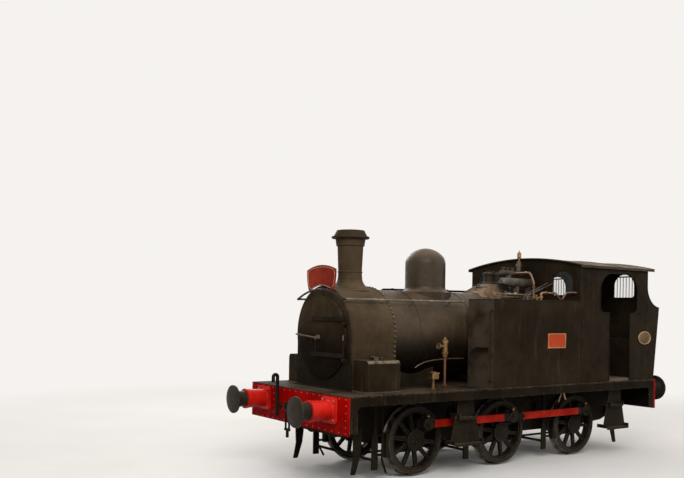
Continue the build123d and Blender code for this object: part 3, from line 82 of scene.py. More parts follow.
class Shader:
    """A Principled material whose colour, roughness and bump are built up layer by layer."""

    def __init__(self, name, metallic=0.0, specular=0.5):
        self.mat = bpy.data.materials.new(name)
        self.mat.use_nodes = True
        self.tree = self.mat.node_tree
        self.tree.nodes.clear()
        self.out = self.tree.nodes.new("ShaderNodeOutputMaterial")
        self.bsdf = self.tree.nodes.new("ShaderNodeBsdfPrincipled")
        self.link(self.bsdf.outputs[0], self.out.inputs[0])
        self.bsdf.inputs["Metallic"].default_value = metallic
        self.bsdf.inputs["Specular IOR Level"].default_value = specular
        coord = self.tree.nodes.new("ShaderNodeTexCoord")
        self.place = coord.outputs["Object"]
        self.normal = self.tree.nodes.new("ShaderNodeNewGeometry").outputs["Normal"]
        self.height = None

    def link(self, a, b):
        self.tree.links.new(a, b)

    def put(self, value, socket):
        if isinstance(value, bpy.types.NodeSocket):
            self.link(value, socket)
        elif isinstance(value, (tuple, list)) and socket.type == "RGBA":
            socket.default_value = (*value[:3], 1.0)
        else:
            socket.default_value = value

    def noise(self, scale, detail=4.0, rough=0.55, stretch=(1, 1, 1)):
        mapping = self.tree.nodes.new("ShaderNodeMapping")
        mapping.inputs["Scale"].default_value = stretch
        self.link(self.place, mapping.inputs["Vector"])
        node = self.tree.nodes.new("ShaderNodeTexNoise")
        node.inputs["Scale"].default_value = scale
        node.inputs["Detail"].default_value = detail
        node.inputs["Roughness"].default_value = rough
        self.link(mapping.outputs[0], node.inputs["Vector"])
        return node.outputs[0]

    def ramp(self, value, low, high, out_low=0.0, out_high=1.0):
        node = self.tree.nodes.new("ShaderNodeMapRange")
        node.interpolation_type = "SMOOTHSTEP"
        self.put(value, node.inputs["Value"])
        node.inputs["From Min"].default_value = low
        node.inputs["From Max"].default_value = high
        node.inputs["To Min"].default_value = out_low
        node.inputs["To Max"].default_value = out_high
        return node.outputs[0]

    def math(self, kind, a, b=0.0):
        node = self.tree.nodes.new("ShaderNodeMath")
        node.operation = kind
        self.put(a, node.inputs[0])
        self.put(b, node.inputs[1])
        return node.outputs[0]

    def times(self, a, b):
        return self.math("MULTIPLY", a, b)

    def mix(self, share, a, b):
        node = self.tree.nodes.new("ShaderNodeMix")
        node.data_type = "RGBA"
        self.put(share, node.inputs[0])
        self.put(a, node.inputs[6])
        self.put(b, node.inputs[7])
        return node.outputs[2]

    def split(self, vector):
        node = self.tree.nodes.new("ShaderNodeSeparateXYZ")
        self.link(vector, node.inputs[0])
        return node.outputs

    def near(self, value, centre, reach, soft):
        """1 within reach of a centre, fading to 0 over a soft edge."""
        away = self.math("ABSOLUTE", self.math("SUBTRACT", value, centre))
        return self.ramp(away, reach + soft, reach)

    def radius(self, b, h):
        """Distance from a cross shaft at the given place."""
        centre = at(b, 0, h)
        x, _, z = self.split(self.place)
        dx = self.math("SUBTRACT", x, centre.x)
        dz = self.math("SUBTRACT", z, centre.z)
        return self.math("SQRT", self.math("ADD", self.times(dx, dx), self.times(dz, dz)))

    def edges(self, radius):
        bevel = self.tree.nodes.new("ShaderNodeBevel")
        bevel.samples = 4
        bevel.inputs["Radius"].default_value = radius
        dot = self.tree.nodes.new("ShaderNodeVectorMath")
        dot.operation = "DOT_PRODUCT"
        self.link(bevel.outputs[0], dot.inputs[0])
        self.link(self.normal, dot.inputs[1])
        return self.ramp(dot.outputs["Value"], 0.995, 0.86)

    def bump(self, value, strength, distance):
        node = self.tree.nodes.new("ShaderNodeBump")
        node.inputs["Strength"].default_value = strength
        node.inputs["Distance"].default_value = distance
        self.put(value, node.inputs["Height"])
        if self.height is not None:
            self.link(self.height, node.inputs["Normal"])
        self.height = node.outputs[0]

    def done(self, colour, rough):
        self.put(colour, self.bsdf.inputs["Base Color"])
        self.put(rough, self.bsdf.inputs["Roughness"])
        if self.height is not None:
            self.link(self.height, self.bsdf.inputs["Normal"])
        return self.mat


def painted(
    name, dark, light, dirt, rough,
    specular=0.05, soot=0.0, low=0.5, dust_and_sheen=0.4, under=0.0, edge=None, over=None,
):
    """Weathered paint: mottling, streaks that run down, dirt near the rail that is also painted shade, a
    dusting on top that is also a painted highlight for the sky's sheen, painted shade on downward faces, and
    rubbed pale edges that on some paints are also a painted highlight.
    """
    s = Shader(name, specular=specular)
    cloud = s.noise(1.7, 6, 0.6)
    blotch = s.noise(9.0, 5, 0.6)
    streak = s.noise(14.0, 4, 0.55, (1, 1, 0.12))
    colour = s.mix(s.ramp(cloud, 0.35, 0.68), dark, light)
    colour = s.mix(s.ramp(streak, 0.54, 0.74, 0, 0.38), colour, dirt)
    colour = s.mix(s.ramp(blotch, 0.56, 0.75, 0, 0.4), colour, [c * 0.5 for c in dark])
    z = s.split(s.place)[2]
    # Darker near the rail: dirt, and also painted shade on the low parts.
    grime_and_shade = s.times(s.ramp(z, 1.35, 0.25), s.ramp(blotch, 0.3, 0.62))
    colour = s.mix(s.times(grime_and_shade, low), colour, dirt)
    up = s.split(s.normal)[2]
    # A dusting on up-facing surfaces, also a painted highlight standing in for the sky's sheen on the tops.
    dust_and_sheen_mask = s.times(s.ramp(up, 0.15, 0.95, 0, dust_and_sheen), s.ramp(cloud, 0.25, 0.6))
    colour = s.mix(dust_and_sheen_mask, colour, [c * 1.25 for c in dirt])
    if under:
        # Painted shade: faces that point downward are darkened.
        shaded = s.times(s.ramp(up, 0.22, -0.38), s.ramp(blotch, 0.2, 0.5, 0.75 * under, under))
        colour = s.mix(shaded, colour, [c * 0.22 for c in dark])
    if soot:
        colour = s.mix(s.times(s.ramp(s.noise(3.2, 5), 0.38, 0.7), soot), colour, (0.006, 0.0045, 0.003))
    if over:
        colour = over(s, colour)
    if edge:
        # Pale edges: rubbed paint, and on the sandboxes, beam rivets and door irons also a painted highlight.
        pale_edges = s.times(s.edges(0.006), s.ramp(s.noise(30.0, 4), 0.40, 0.60))
        colour = s.mix(pale_edges, colour, edge)
    s.bump(s.noise(3.0, 3), 0.25, 0.004)
    s.bump(s.noise(85.0, 3, 0.6), 0.12, 0.0009)
    rough_map = s.ramp(blotch, 0.3, 0.72, rough - 0.08, rough + 0.16)
    return s.done(colour, s.math("ADD", rough_map, s.ramp(streak, 0.5, 0.8, 0, 0.12)))


def metal(name, dark, light, rough, tarnish, amount, metallic, over=None):
    """Bare metal with cloudy polish and patches of tarnish."""
    s = Shader(name, metallic=metallic, specular=0.3)
    patch = s.noise(24.0, 5, 0.65)
    colour = s.mix(s.ramp(s.noise(6.0, 5), 0.35, 0.68), dark, light)
    colour = s.mix(s.ramp(patch, 0.45, 0.68, 0, amount), colour, tarnish)
    if over:
        colour = over(s, colour)
    s.bump(s.noise(70.0, 3), 0.15, 0.0007)
    return s.done(colour, s.ramp(patch, 0.3, 0.7, rough - 0.06, rough + 0.2))


# What is laid over the paint or metal of particular pieces

# Near-black for soot and for painted shade.
SOOT_AND_SHADE = (0.012, 0.008, 0.004)


def black_inside(s, colour):
    """The beams are red on their outer faces and edges, and black on the side towards the frames."""
    inner = s.ramp(s.times(s.split(s.place)[0], s.split(s.normal)[0]), -1.0, -1.6)
    return s.mix(inner, colour, (0.012, 0.009, 0.006))


def front_shade_and_crown_soot(s, colour):
    """Painted shade darkens the lower half of the smokebox front and door, and the smokebox towards the
    bottom; soot darkens the chimney's crown.
    """
    x, _, z = s.split(s.place)
    front = s.ramp(x, 2.80, 2.86)
    # Painted shade on the lower half of the front.
    colour = s.mix(s.times(front, s.ramp(z, 2.45, 1.75, 0.15, 0.90)), colour, (0.005, 0.0035, 0.002))
    # Painted shade: darker towards the bottom.
    colour = s.mix(s.ramp(z, 2.25, 1.35, 0.0, 0.55), colour, SOOT_AND_SHADE)
    # Soot on the chimney's crown.
    return s.mix(s.ramp(z, 3.40, 3.47, 0.0, 0.55), colour, SOOT_AND_SHADE)


def stained_front(s, colour):
    """Steam and limescale pale the tanks' front plates."""
    front = s.times(s.ramp(s.split(s.normal)[0], 0.8, 0.95), s.ramp(s.noise(2.4, 6, 0.6), 0.3, 0.62))
    return s.mix(s.times(front, 0.75), colour, (0.088, 0.066, 0.047))


def worn_and_lit_corners(s, colour):
    """Rounded corners are painted pale: rubbed paint, and a painted highlight where they catch the light."""
    x, y, z = (s.math("ABSOLUTE", part) for part in s.split(s.normal))
    flat = s.math("MAXIMUM", s.math("MAXIMUM", x, y), z)
    pale_edges = s.times(s.ramp(flat, 0.985, 0.90), s.ramp(s.noise(16.0, 4), 0.25, 0.55))
    return s.mix(pale_edges, colour, (0.19, 0.145, 0.10))


def browned_casing(s, colour):
    """Heat browns the casing below the valves, darker towards the right side and the rear; the columns above
    stay dark metal.
    """
    x, y, z = s.split(s.place)
    tan = s.mix(s.ramp(s.noise(8.0, 6, 0.6), 0.35, 0.68), (0.12, 0.072, 0.038), (0.25, 0.165, 0.100))
    tan = s.mix(s.ramp(y, -0.02, -0.16), tan, (0.055, 0.039, 0.026))
    tan = s.mix(s.ramp(x, at(3640, 0, 0).x, at(3860, 0, 0).x), tan, (0.030, 0.021, 0.013))
    wheel = s.times(s.near(x, at(VALVE_WHEEL, 0, 0).x, 0.064, 0.002), s.ramp(z, 2.775, 2.785))
    below = s.times(s.ramp(z, 2.866, 2.850), s.math("SUBTRACT", 1.0, wheel))
    return s.mix(below, colour, tan)


def bright_handle(s, colour):
    """The door's cross handle is rubbed bright; its straps and hinges stay dark."""
    rubbed = s.mix(s.noise(20.0, 4), (0.085, 0.064, 0.045), (0.19, 0.150, 0.110))
    return s.mix(s.near(s.split(s.place)[2], 1.992, 0.034, 0.004), colour, rubbed)


def dull_arch(s, colour):
    """The handrail's arch over the smokebox front is painted black; the long side rails are rubbed bright."""
    arch = s.ramp(s.split(s.place)[0], 2.84, 2.90)
    return s.mix(arch, colour, (0.012, 0.0085, 0.005))


def copper_feed(s, colour):
    """The feed pipes below the clack valves are copper."""
    place = s.split(s.place)
    pipe = s.times(s.near(place[0], at(CLACK[0], 0, 0).x, 0.03, 0.003), s.ramp(place[2], 1.735, 1.725))
    return s.mix(pipe, colour, s.mix(s.noise(9.0, 4), (0.11, 0.045, 0.020), (0.26, 0.125, 0.070)))


def ribbed_hose(s, colour):
    """Rings round the hose, with painted shade in the grooves between them."""
    rib = s.math("SINE", s.times(s.split(s.place)[2], 330.0))
    s.bump(rib, 0.6, 0.004)
    # Painted shade in the grooves.
    return s.mix(s.ramp(rib, -1.0, 0.2, 0.6, 0.0), colour, (0.004, 0.003, 0.002))


BLACK_EDGE = (0.115, 0.087, 0.060)

# Name: dark, light, dirt, roughness, the rest
PAINTS = {
    "black_paint": (
        (0.014, 0.0094, 0.0050), (0.027, 0.0185, 0.0105), (0.070, 0.050, 0.032), 0.46,
        dict(edge=BLACK_EDGE),
    ),
    "tank_paint": (
        (0.014, 0.0092, 0.0048), (0.028, 0.0190, 0.0105), (0.060, 0.043, 0.027), 0.52,
        dict(edge=BLACK_EDGE, specular=0.03, over=stained_front),
    ),
    "cab_paint": (
        (0.0125, 0.0082, 0.0042), (0.024, 0.0160, 0.0085), (0.052, 0.037, 0.023), 0.52,
        dict(edge=BLACK_EDGE, specular=0.03),
    ),
    # Painted shade on the boiler's underside, and a dusting on top that is also a painted highlight.
    "boiler_paint": (
        (0.042, 0.0280, 0.0160), (0.073, 0.0500, 0.0300), (0.105, 0.075, 0.048), 0.38,
        dict(specular=0.10, dust_and_sheen=0.6, under=1.0),
    ),
    # A heavy dusting on top, also a painted highlight on the dome's top.
    "dome_paint": (
        (0.036, 0.0245, 0.0145), (0.062, 0.0430, 0.0265), (0.105, 0.075, 0.048), 0.34,
        dict(specular=0.16, dust_and_sheen=0.9),
    ),
    "smokebox_paint": (
        (0.048, 0.0316, 0.0170), (0.085, 0.0570, 0.0325), (0.105, 0.074, 0.046), 0.48,
        dict(soot=0.22, dust_and_sheen=0.5, edge=BLACK_EDGE, specular=0.03, over=front_shade_and_crown_soot),
    ),
    "door_paint": (
        (0.044, 0.0290, 0.0155), (0.078, 0.0525, 0.0300), (0.105, 0.074, 0.046), 0.62,
        dict(soot=0.3, dust_and_sheen=0.5, edge=BLACK_EDGE, specular=0.015, over=front_shade_and_crown_soot),
    ),
    # Pale edges and corners: rubbed paint, and a painted highlight.
    "sandbox_paint": (
        (0.021, 0.0140, 0.0075), (0.040, 0.0270, 0.0150), (0.080, 0.057, 0.036), 0.48,
        dict(edge=(0.16, 0.12, 0.083), specular=0.015, dust_and_sheen=0.6, over=worn_and_lit_corners),
    ),
    # Pale paint for the sandbox flange: rubbed paint, and a painted highlight along its edge.
    "worn_and_lit_edge": (
        (0.085, 0.0630, 0.0430), (0.150, 0.1150, 0.0820), (0.16, 0.12, 0.085), 0.5,
        dict(dust_and_sheen=0.8),
    ),
    # Lighter than the black paint around it, as a painted highlight on the rivet heads, with painted shade
    # below them.
    "rivet_paint": (
        (0.060, 0.0410, 0.0240), (0.115, 0.0800, 0.0480), (0.16, 0.118, 0.076), 0.42,
        dict(dust_and_sheen=0.8, specular=0.16, under=1.0),
    ),
    # Darker than the body's black: dirt, and painted shade for the parts low under the engine.
    "underframe_paint": (
        (0.0068, 0.0050, 0.0028), (0.0160, 0.0118, 0.0070), (0.042, 0.030, 0.019), 0.58,
        dict(low=0.35, edge=(0.075, 0.056, 0.038)),
    ),
    # Darker than the body's black: dirt, and painted shade for the steps low under the engine.
    "step_paint": (
        (0.0068, 0.0050, 0.0028), (0.0160, 0.0118, 0.0070), (0.050, 0.036, 0.023), 0.58,
        dict(low=0.35, dust_and_sheen=0.8, edge=(0.24, 0.185, 0.13)),
    ),
    # Darker than the body's black: dirt, and painted shade on the valances under the footplate's edge.
    "footplate_paint": (
        (0.0070, 0.0052, 0.0028), (0.0155, 0.0112, 0.0065), (0.072, 0.051, 0.033), 0.52,
        dict(edge=(0.22, 0.17, 0.12), dust_and_sheen=0.75, specular=0.02),
    ),
    "roof_paint": (
        (0.036, 0.0250, 0.0150), (0.075, 0.053, 0.034), (0.20, 0.15, 0.105), 0.52,
        dict(soot=0.35, dust_and_sheen=0.75),
    ),
    # Darker towards the rail: dirt, and painted shade on the beams' lower part.
    "red_paint": (
        (0.30, 0.0012, 0.0006), (0.47, 0.0030, 0.0015), (0.085, 0.003, 0.0015), 0.36,
        dict(specular=0.02, low=0.6, edge=(0.42, 0.012, 0.006), dust_and_sheen=0.1, over=black_inside),
    ),
    # Lighter red with pale edges: a painted highlight on the beam rivets.
    "red_rivets": (
        (0.45, 0.0100, 0.0060), (0.62, 0.0300, 0.0200), (0.20, 0.010, 0.006), 0.30,
        dict(specular=0.3, low=0.3, dust_and_sheen=0.6, edge=(0.80, 0.30, 0.22)),
    ),
    "socket_paint": (
        (0.56, 0.0110, 0.0055), (0.78, 0.0280, 0.0160), (0.16, 0.008, 0.004), 0.26,
        dict(specular=0.10, low=0.3, edge=(0.5, 0.03, 0.015), dust_and_sheen=0.1),
    ),
    "board_paint": (
        (0.23, 0.0160, 0.0065), (0.37, 0.0380, 0.0180), (0.20, 0.04, 0.025), 0.40,
        dict(low=0.0, dust_and_sheen=0.1),
    ),
    "board_rim": (
        (0.42, 0.280, 0.170), (0.60, 0.430, 0.280), (0.30, 0.10, 0.06), 0.45,
        dict(low=0.0, dust_and_sheen=0.1),
    ),
    "plate_paint": (
        (0.48, 0.0600, 0.0200), (0.62, 0.1050, 0.0420), (0.36, 0.07, 0.035), 0.38,
        dict(low=0.0, dust_and_sheen=0.1),
    ),
    # A dusting on the tops and pale edges: dirt and wear, and a painted highlight on the straps' upper edges.
    "door_iron": (
        (0.0100, 0.0070, 0.0040), (0.022, 0.0155, 0.0095), (0.030, 0.021, 0.013), 0.50,
        dict(specular=0.03, dust_and_sheen=0.9, edge=(0.085, 0.064, 0.045), over=bright_handle),
    ),
    "buffer_steel": (
        (0.011, 0.0080, 0.0048), (0.030, 0.0220, 0.0145), (0.050, 0.036, 0.023), 0.36,
        dict(specular=0.10, edge=(0.20, 0.16, 0.12)),
    ),
    "casing_metal": (
        (0.016, 0.0115, 0.0075), (0.045, 0.033, 0.022), (0.085, 0.062, 0.041), 0.48,
        dict(over=browned_casing, specular=0.12),
    ),
    "hose_rubber": (
        (0.010, 0.0080, 0.0060), (0.022, 0.0175, 0.0130), (0.055, 0.043, 0.030), 0.62,
        dict(over=ribbed_hose),
    ),
}
# Name: dark, light, roughness, tarnish, its amount, metallic, what is laid over
METALS = {
    "brass": (
        (0.18, 0.098, 0.036), (0.38, 0.235, 0.100), 0.38, (0.075, 0.042, 0.018), 0.65, 0.85, copper_feed,
    ),
    "plate_brass": ((0.095, 0.054, 0.024), (0.20, 0.125, 0.056), 0.42, (0.045, 0.027, 0.013), 0.6, 0.6),
    "bright_brass": ((0.34, 0.215, 0.090), (0.55, 0.380, 0.180), 0.32, (0.15, 0.09, 0.04), 0.5, 0.85),
    "copper": ((0.19, 0.105, 0.066), (0.36, 0.230, 0.158), 0.40, (0.085, 0.052, 0.034), 0.65, 0.8),
    "bright_steel": ((0.19, 0.158, 0.124), (0.37, 0.318, 0.258), 0.36, (0.075, 0.058, 0.042), 0.5, 0.5),
    "rail_steel": (
        (0.13, 0.105, 0.080), (0.29, 0.245, 0.195), 0.40, (0.060, 0.046, 0.033), 0.6, 0.4, dull_arch,
    ),
    "grey_pipe": ((0.080, 0.065, 0.049), (0.195, 0.162, 0.128), 0.44, (0.036, 0.028, 0.020), 0.55, 0.35),
}
mats = {}
for name, (*row, rest) in PAINTS.items():
    mats[name] = painted(name, *row, **rest)
for name, row in METALS.items():
    mats[name] = metal(name, *row)


def wheel_material():
    """Black wheels, grimy and also painted darker as shade under the engine, whose treads are rubbed bright
    and whose edges are pale with wear and a painted highlight.
    """
    s = Shader("wheel_paint", specular=0.08)
    radius = None
    for b in AXLES.values():
        r = s.radius(b, WHEEL_R)
        radius = r if radius is None else s.math("MINIMUM", radius, r)
    blotch = s.noise(11.0, 5, 0.6)
    # Darker than the body's black: dirt, and painted shade low under the engine.
    colour = s.mix(s.ramp(s.noise(3.5, 5), 0.35, 0.7), (0.0070, 0.0052, 0.0030), (0.0160, 0.0120, 0.0078))
    colour = s.mix(s.ramp(blotch, 0.48, 0.7, 0, 0.55), colour, (0.032, 0.023, 0.014))
    rim = s.times(s.ramp(radius, 0.425, 0.435), s.ramp(radius, 0.489, 0.483))
    colour = s.mix(s.times(rim, 0.4), colour, (0.060, 0.045, 0.031))
    joint = s.near(radius, 0.4285, 0.0015, 0.002)
    colour = s.mix(joint, colour, (0.003, 0.002, 0.001))
    tread = s.ramp(radius, 0.4835, 0.4855)
    colour = s.mix(tread, colour, s.mix(s.ramp(blotch, 0.4, 0.6), (0.060, 0.047, 0.036), (0.20, 0.175, 0.15)))
    # Pale edges: wear, and a painted highlight on the spokes' lit faces.
    pale_edges = s.times(s.edges(0.006), s.ramp(s.noise(26.0, 4), 0.34, 0.56))
    colour = s.mix(pale_edges, colour, (0.19, 0.150, 0.112))
    s.link(s.times(tread, 0.6), s.bsdf.inputs["Metallic"])
    s.bump(joint, -0.5, 0.003)
    s.bump(s.noise(60.0, 4), 0.25, 0.0012)
    return s.done(colour, s.math("SUBTRACT", s.ramp(blotch, 0.3, 0.7, 0.5, 0.72), s.times(tread, 0.22)))


BOSS_BLACK = {"leading": 0.110, "driving": 0.205, "trailing": 0.200}


def rod_material(side):
    """Red between the bosses, greasy black at the bosses."""
    s = Shader("rod_paint_" + side, specular=0.06)
    x = s.split(s.place)[0]
    shift = CRANK_R * math.cos(math.radians(CRANK_ANGLE[side]))
    boss = None
    for name, b in AXLES.items():
        end = s.near(x, at(b - shift, 0, 0).x, BOSS_BLACK[name], 0.008)
        boss = end if boss is None else s.math("MAXIMUM", boss, end)
    blotch = s.noise(12.0, 5, 0.6)
    paint = s.mix(s.ramp(s.noise(4.0, 4), 0.35, 0.7), (0.31, 0.0075, 0.0024), (0.47, 0.0210, 0.0085))
    paint = s.mix(s.ramp(blotch, 0.55, 0.75, 0, 0.45), paint, (0.085, 0.018, 0.010))
    black_end = s.mix(s.ramp(blotch, 0.4, 0.7), (0.008, 0.006, 0.004), (0.028, 0.021, 0.014))
    colour = s.mix(boss, paint, black_end)
    pale_edges = s.times(s.edges(0.004), s.ramp(s.noise(30.0, 4), 0.42, 0.6))
    colour = s.mix(s.times(pale_edges, 0.6), colour, (0.16, 0.09, 0.07))
    s.bump(s.noise(70.0, 3), 0.15, 0.0008)
    return s.done(colour, s.ramp(blotch, 0.3, 0.7, 0.32, 0.55))


def wood_material():
    """Boards that run fore and aft, with dark gaps between them."""
    s = Shader("floor_boards", specular=0.2)
    y = s.split(s.place)[1]
    grain = s.noise(16.0, 6, 0.6, (0.15, 1.6, 1))
    colour = s.mix(s.ramp(grain, 0.35, 0.7), (0.06, 0.042, 0.028), (0.15, 0.108, 0.072))
    board = s.math("FRACT", s.times(y, 6.5))
    gap = s.ramp(s.math("ABSOLUTE", s.math("SUBTRACT", board, 0.5)), 0.475, 0.49)
    colour = s.mix(gap, colour, (0.01, 0.009, 0.008))
    s.bump(s.math("SUBTRACT", grain, gap), 0.5, 0.003)
    return s.done(colour, s.ramp(grain, 0.3, 0.7, 0.6, 0.8))


def glass_material():
    """Thin panes, clear but for smears of dust."""
    s = Shader("window_glass", specular=0.2)
    s.bsdf.inputs["Alpha"].default_value = 0.08
    smear = s.noise(7.0, 5, 0.6, (1, 1, 0.4))
    colour = s.mix(s.ramp(smear, 0.4, 0.7), (0.16, 0.17, 0.16), (0.30, 0.30, 0.27))
    return s.done(colour, s.ramp(smear, 0.4, 0.75, 0.03, 0.12))


def firebox_material():
    """Boiler cladding, browned by heat and steam over the firebox."""
    s = Shader("firebox_cladding", specular=0.1)
    blotch = s.noise(8.0, 6, 0.6)
    colour = s.mix(s.ramp(s.noise(2.2, 5), 0.3, 0.7), (0.055, 0.034, 0.018), (0.14, 0.088, 0.050))
    colour = s.mix(s.ramp(blotch, 0.5, 0.72, 0, 0.6), colour, (0.24, 0.155, 0.09))
    s.bump(s.noise(50.0, 3), 0.2, 0.001)
    return s.done(colour, s.ramp(blotch, 0.3, 0.7, 0.42, 0.66))


mats["wheel_paint"] = wheel_material()
mats["floor_boards"] = wood_material()
mats["window_glass"] = glass_material()
mats["firebox_cladding"] = firebox_material()
for side in SIDES:
    mats["rod_paint_" + side] = rod_material(side)

NODE_MATERIALS = {
    "tank_paint": "side_tank_left side_tank_right tank_lid_left tank_lid_right",
    "cab_paint": "cab_side_left cab_side_right cab_front cab_rear bunker",
    "boiler_paint": "boiler_barrel boiler_bands",
    "dome_paint": "dome",
    "smokebox_paint": "smokebox chimney blast_pipe",
    "door_paint": "smokebox_door",
    "sandbox_paint": "sandboxes sandbox_lid_left sandbox_lid_right",
    "underframe_paint": "main_frames frame_stretchers axleboxes leaf_springs cylinder_block guard_irons"
                        " brake_gear ashpan axle_leading axle_driving axle_trailing draw_gear cab_fittings",
    "step_paint": "steps",
    "red_paint": "front_beam rear_beam",
    "socket_paint": "buffer_sockets",
    "footplate_paint": "footplate valances",
    "board_paint": "headboard",
    "plate_paint": "number_plates",
    "brass": "brass_fittings",
    "plate_brass": "works_plates",
    "copper": "copper_pipes",
    "rail_steel": "handrails",
    "door_iron": "door_fittings door_hinge_post",
    "buffer_steel": "buffer_heads",
    "grey_pipe": "steam_fittings",
    "roof_paint": "roof",
    "casing_metal": "safety_valves",
    "hose_rubber": "vacuum_pipes",
    "firebox_cladding": "firebox_casing",
    "wheel_paint": "wheels_leading wheels_driving wheels_trailing",
    "floor_boards": "cab_floor",
    "window_glass": "window_glass",
    "rod_paint_left": "coupling_rod_left",
    "rod_paint_right": "coupling_rod_right",
}
given = {node: mats[key] for key, names in NODE_MATERIALS.items() for node in names.split()}
for name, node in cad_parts.items():
    for slot in node.material_slots:
        slot.material = given.get(name, mats["black_paint"])


# Mesh pieces


def piece(name, mesh, paint, body="chassis", smooth=True):
    """Puts a finished mesh into the scene, on its body and in its material slot."""
    obj = bpy.data.objects.new(name, mesh)
    bpy.context.collection.objects.link(obj)
    mesh.materials.append(mats[paint])
    for face in mesh.polygons:
        face.use_smooth = smooth
    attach(obj, body)


def lathe(name, profile, spots, paint, body="chassis", sides=16, smooth=True, ring=False):
    """Turned pieces in one mesh: a profile of (radius, height) in mm at each (place, outward direction)."""
    verts, faces = [], []
    for place, out in spots:
        turn = out.to_track_quat("Z", "Y").to_matrix()
        base = len(verts)
        for r, lift in profile:
            for k in range(sides):
                a = 2 * math.pi * k / sides
                verts.append(place + turn @ Vector((r * math.cos(a), r * math.sin(a), lift)) / 1000)
        steps = len(profile) if ring else len(profile) - 1
        for step in range(steps):
            low = base + step * sides
            high = base + (step + 1) % len(profile) * sides
            for k in range(sides):
                n = (k + 1) % sides
                faces.append((low + k, low + n, high + n, high + k))
        if not ring:
            faces.append(tuple(base + k for k in reversed(range(sides))))
            faces.append(tuple(base + (len(profile) - 1) * sides + k for k in range(sides)))
    mesh = bpy.data.meshes.new(name)
    mesh.from_pydata([tuple(v) for v in verts], [], faces)
    piece(name, mesh, paint, body, smooth)


def rivets(name, spots, r, paint, body="chassis"):
    lathe(name, ((r, -1), (r * 0.86, r * 0.42), (r * 0.45, r * 0.68)), spots, paint, body, sides=8)


def bolts(name, spots, r, paint, body="chassis"):
    """Hexagon heads with a shallow chamfer and the end of the thread."""
    profile = ((r, -1), (r, r * 0.6), (r * 0.84, r * 0.72), (r * 0.5, r * 0.72), (r * 0.46, r * 1.0))
    lathe(name, profile, spots, paint, body, sides=6, smooth=False)


def ring_profile(r, thick, steps=8):
    """Closed section of a round ring about its own axis."""
    turns = [2 * math.pi * k / steps for k in range(steps)]
    return tuple((r + thick * math.cos(a), thick * math.sin(a)) for a in turns)


def bars(name, boxes, paint, body="chassis", edge=2.5):
    """Bevelled strips in one mesh, each between two corners given as (b, y, h)."""
    mesh = bmesh.new()
    for low, high in boxes:
        a = at(*low)
        c = at(*high)
        made = bmesh.ops.create_cube(mesh, size=1.0)["verts"]
        for v in made:
            v.co = Vector([a[i] + (c[i] - a[i]) * (v.co[i] + 0.5) for i in range(3)])
        rims = list({e for v in made for e in v.link_edges})
        bmesh.ops.bevel(mesh, geom=rims, offset=edge / 1000, segments=2, profile=0.5, affect="EDGES")
    bmesh.ops.recalc_face_normals(mesh, faces=mesh.faces)
    data = bpy.data.meshes.new(name)
    mesh.to_mesh(data)
    mesh.free()
    piece(name, data, paint, body, smooth=False)


def tube(name, runs, r, paint, body="chassis", closed=False):
    """Round bars or pipes along runs of points, in one mesh."""
    curve = bpy.data.curves.new(name, "CURVE")
    curve.dimensions = "3D"
    curve.bevel_depth = r / 1000
    curve.bevel_resolution = 2
    curve.use_fill_caps = True
    for run in runs:
        spline = curve.splines.new("POLY")
        spline.points.add(len(run) - 1)
        for spot, point in zip(spline.points, run):
            spot.co = (*point, 1)
        spline.use_cyclic_u = closed
    temp = bpy.data.objects.new(name, curve)
    bpy.context.collection.objects.link(temp)
    mesh = bpy.data.meshes.new_from_object(temp.evaluated_get(bpy.context.evaluated_depsgraph_get()))
    bpy.data.objects.remove(temp)
    piece(name, mesh, paint, body)


def rounded(points, radii, closed=False, steps=8):
    """A run of straight lines with a rounded corner of the given radius (mm) at each inner point."""
    if closed:
        points = [points[-1], *points, points[0]]
    out = [] if closed else [points[0]]
    for a, b, c, r in zip(points, points[1:], points[2:], radii):
        u = (a - b).normalized()
        v = (c - b).normalized()
        d = min(r / 1000 * math.tan((math.pi - u.angle(v)) / 2), (a - b).length * 0.48, (c - b).length * 0.48)
        centre = b + (u + v) * d
        if r:
            for k in range(steps + 1):
                t = math.pi / 2 * k / steps
                out.append(centre - v * d * math.cos(t) - u * d * math.sin(t))
        else:
            out.append(b)
    return out if closed else out + [points[-1]]


def both(points):
    """The same points on the left and on the right."""
    return [list(points), [Vector((p.x, -p.y, p.z)) for p in points]]


def both_spots(spots):
    """The same (place, direction) pairs on the left and on the right."""
    flip = Vector((1, -1, 1))
    return list(spots) + [(p * flip, out * flip) for p, out in spots]


def both_boxes(boxes):
    """The same boxes on the left and on the right."""
    return list(boxes) + [((b0, -y0, h0), (b1, -y1, h1)) for (b0, y0, h0), (b1, y1, h1) in boxes]


def along(a, b, pitch):
    """Evenly spaced places from a to b, near the given pitch in metres."""
    count = max(1, round((b - a).length / pitch))
    return [a.lerp(b, k / count) for k in range(count + 1)]


def arc(b, y, h, r, start, stop, steps):
    """Points round an upright cross-wise circle, by degrees from the left."""
    turns = [math.radians(start + (stop - start) * k / steps) for k in range(steps + 1)]
    return [at(b, y + r * math.cos(a), h + r * math.sin(a)) for a in turns]


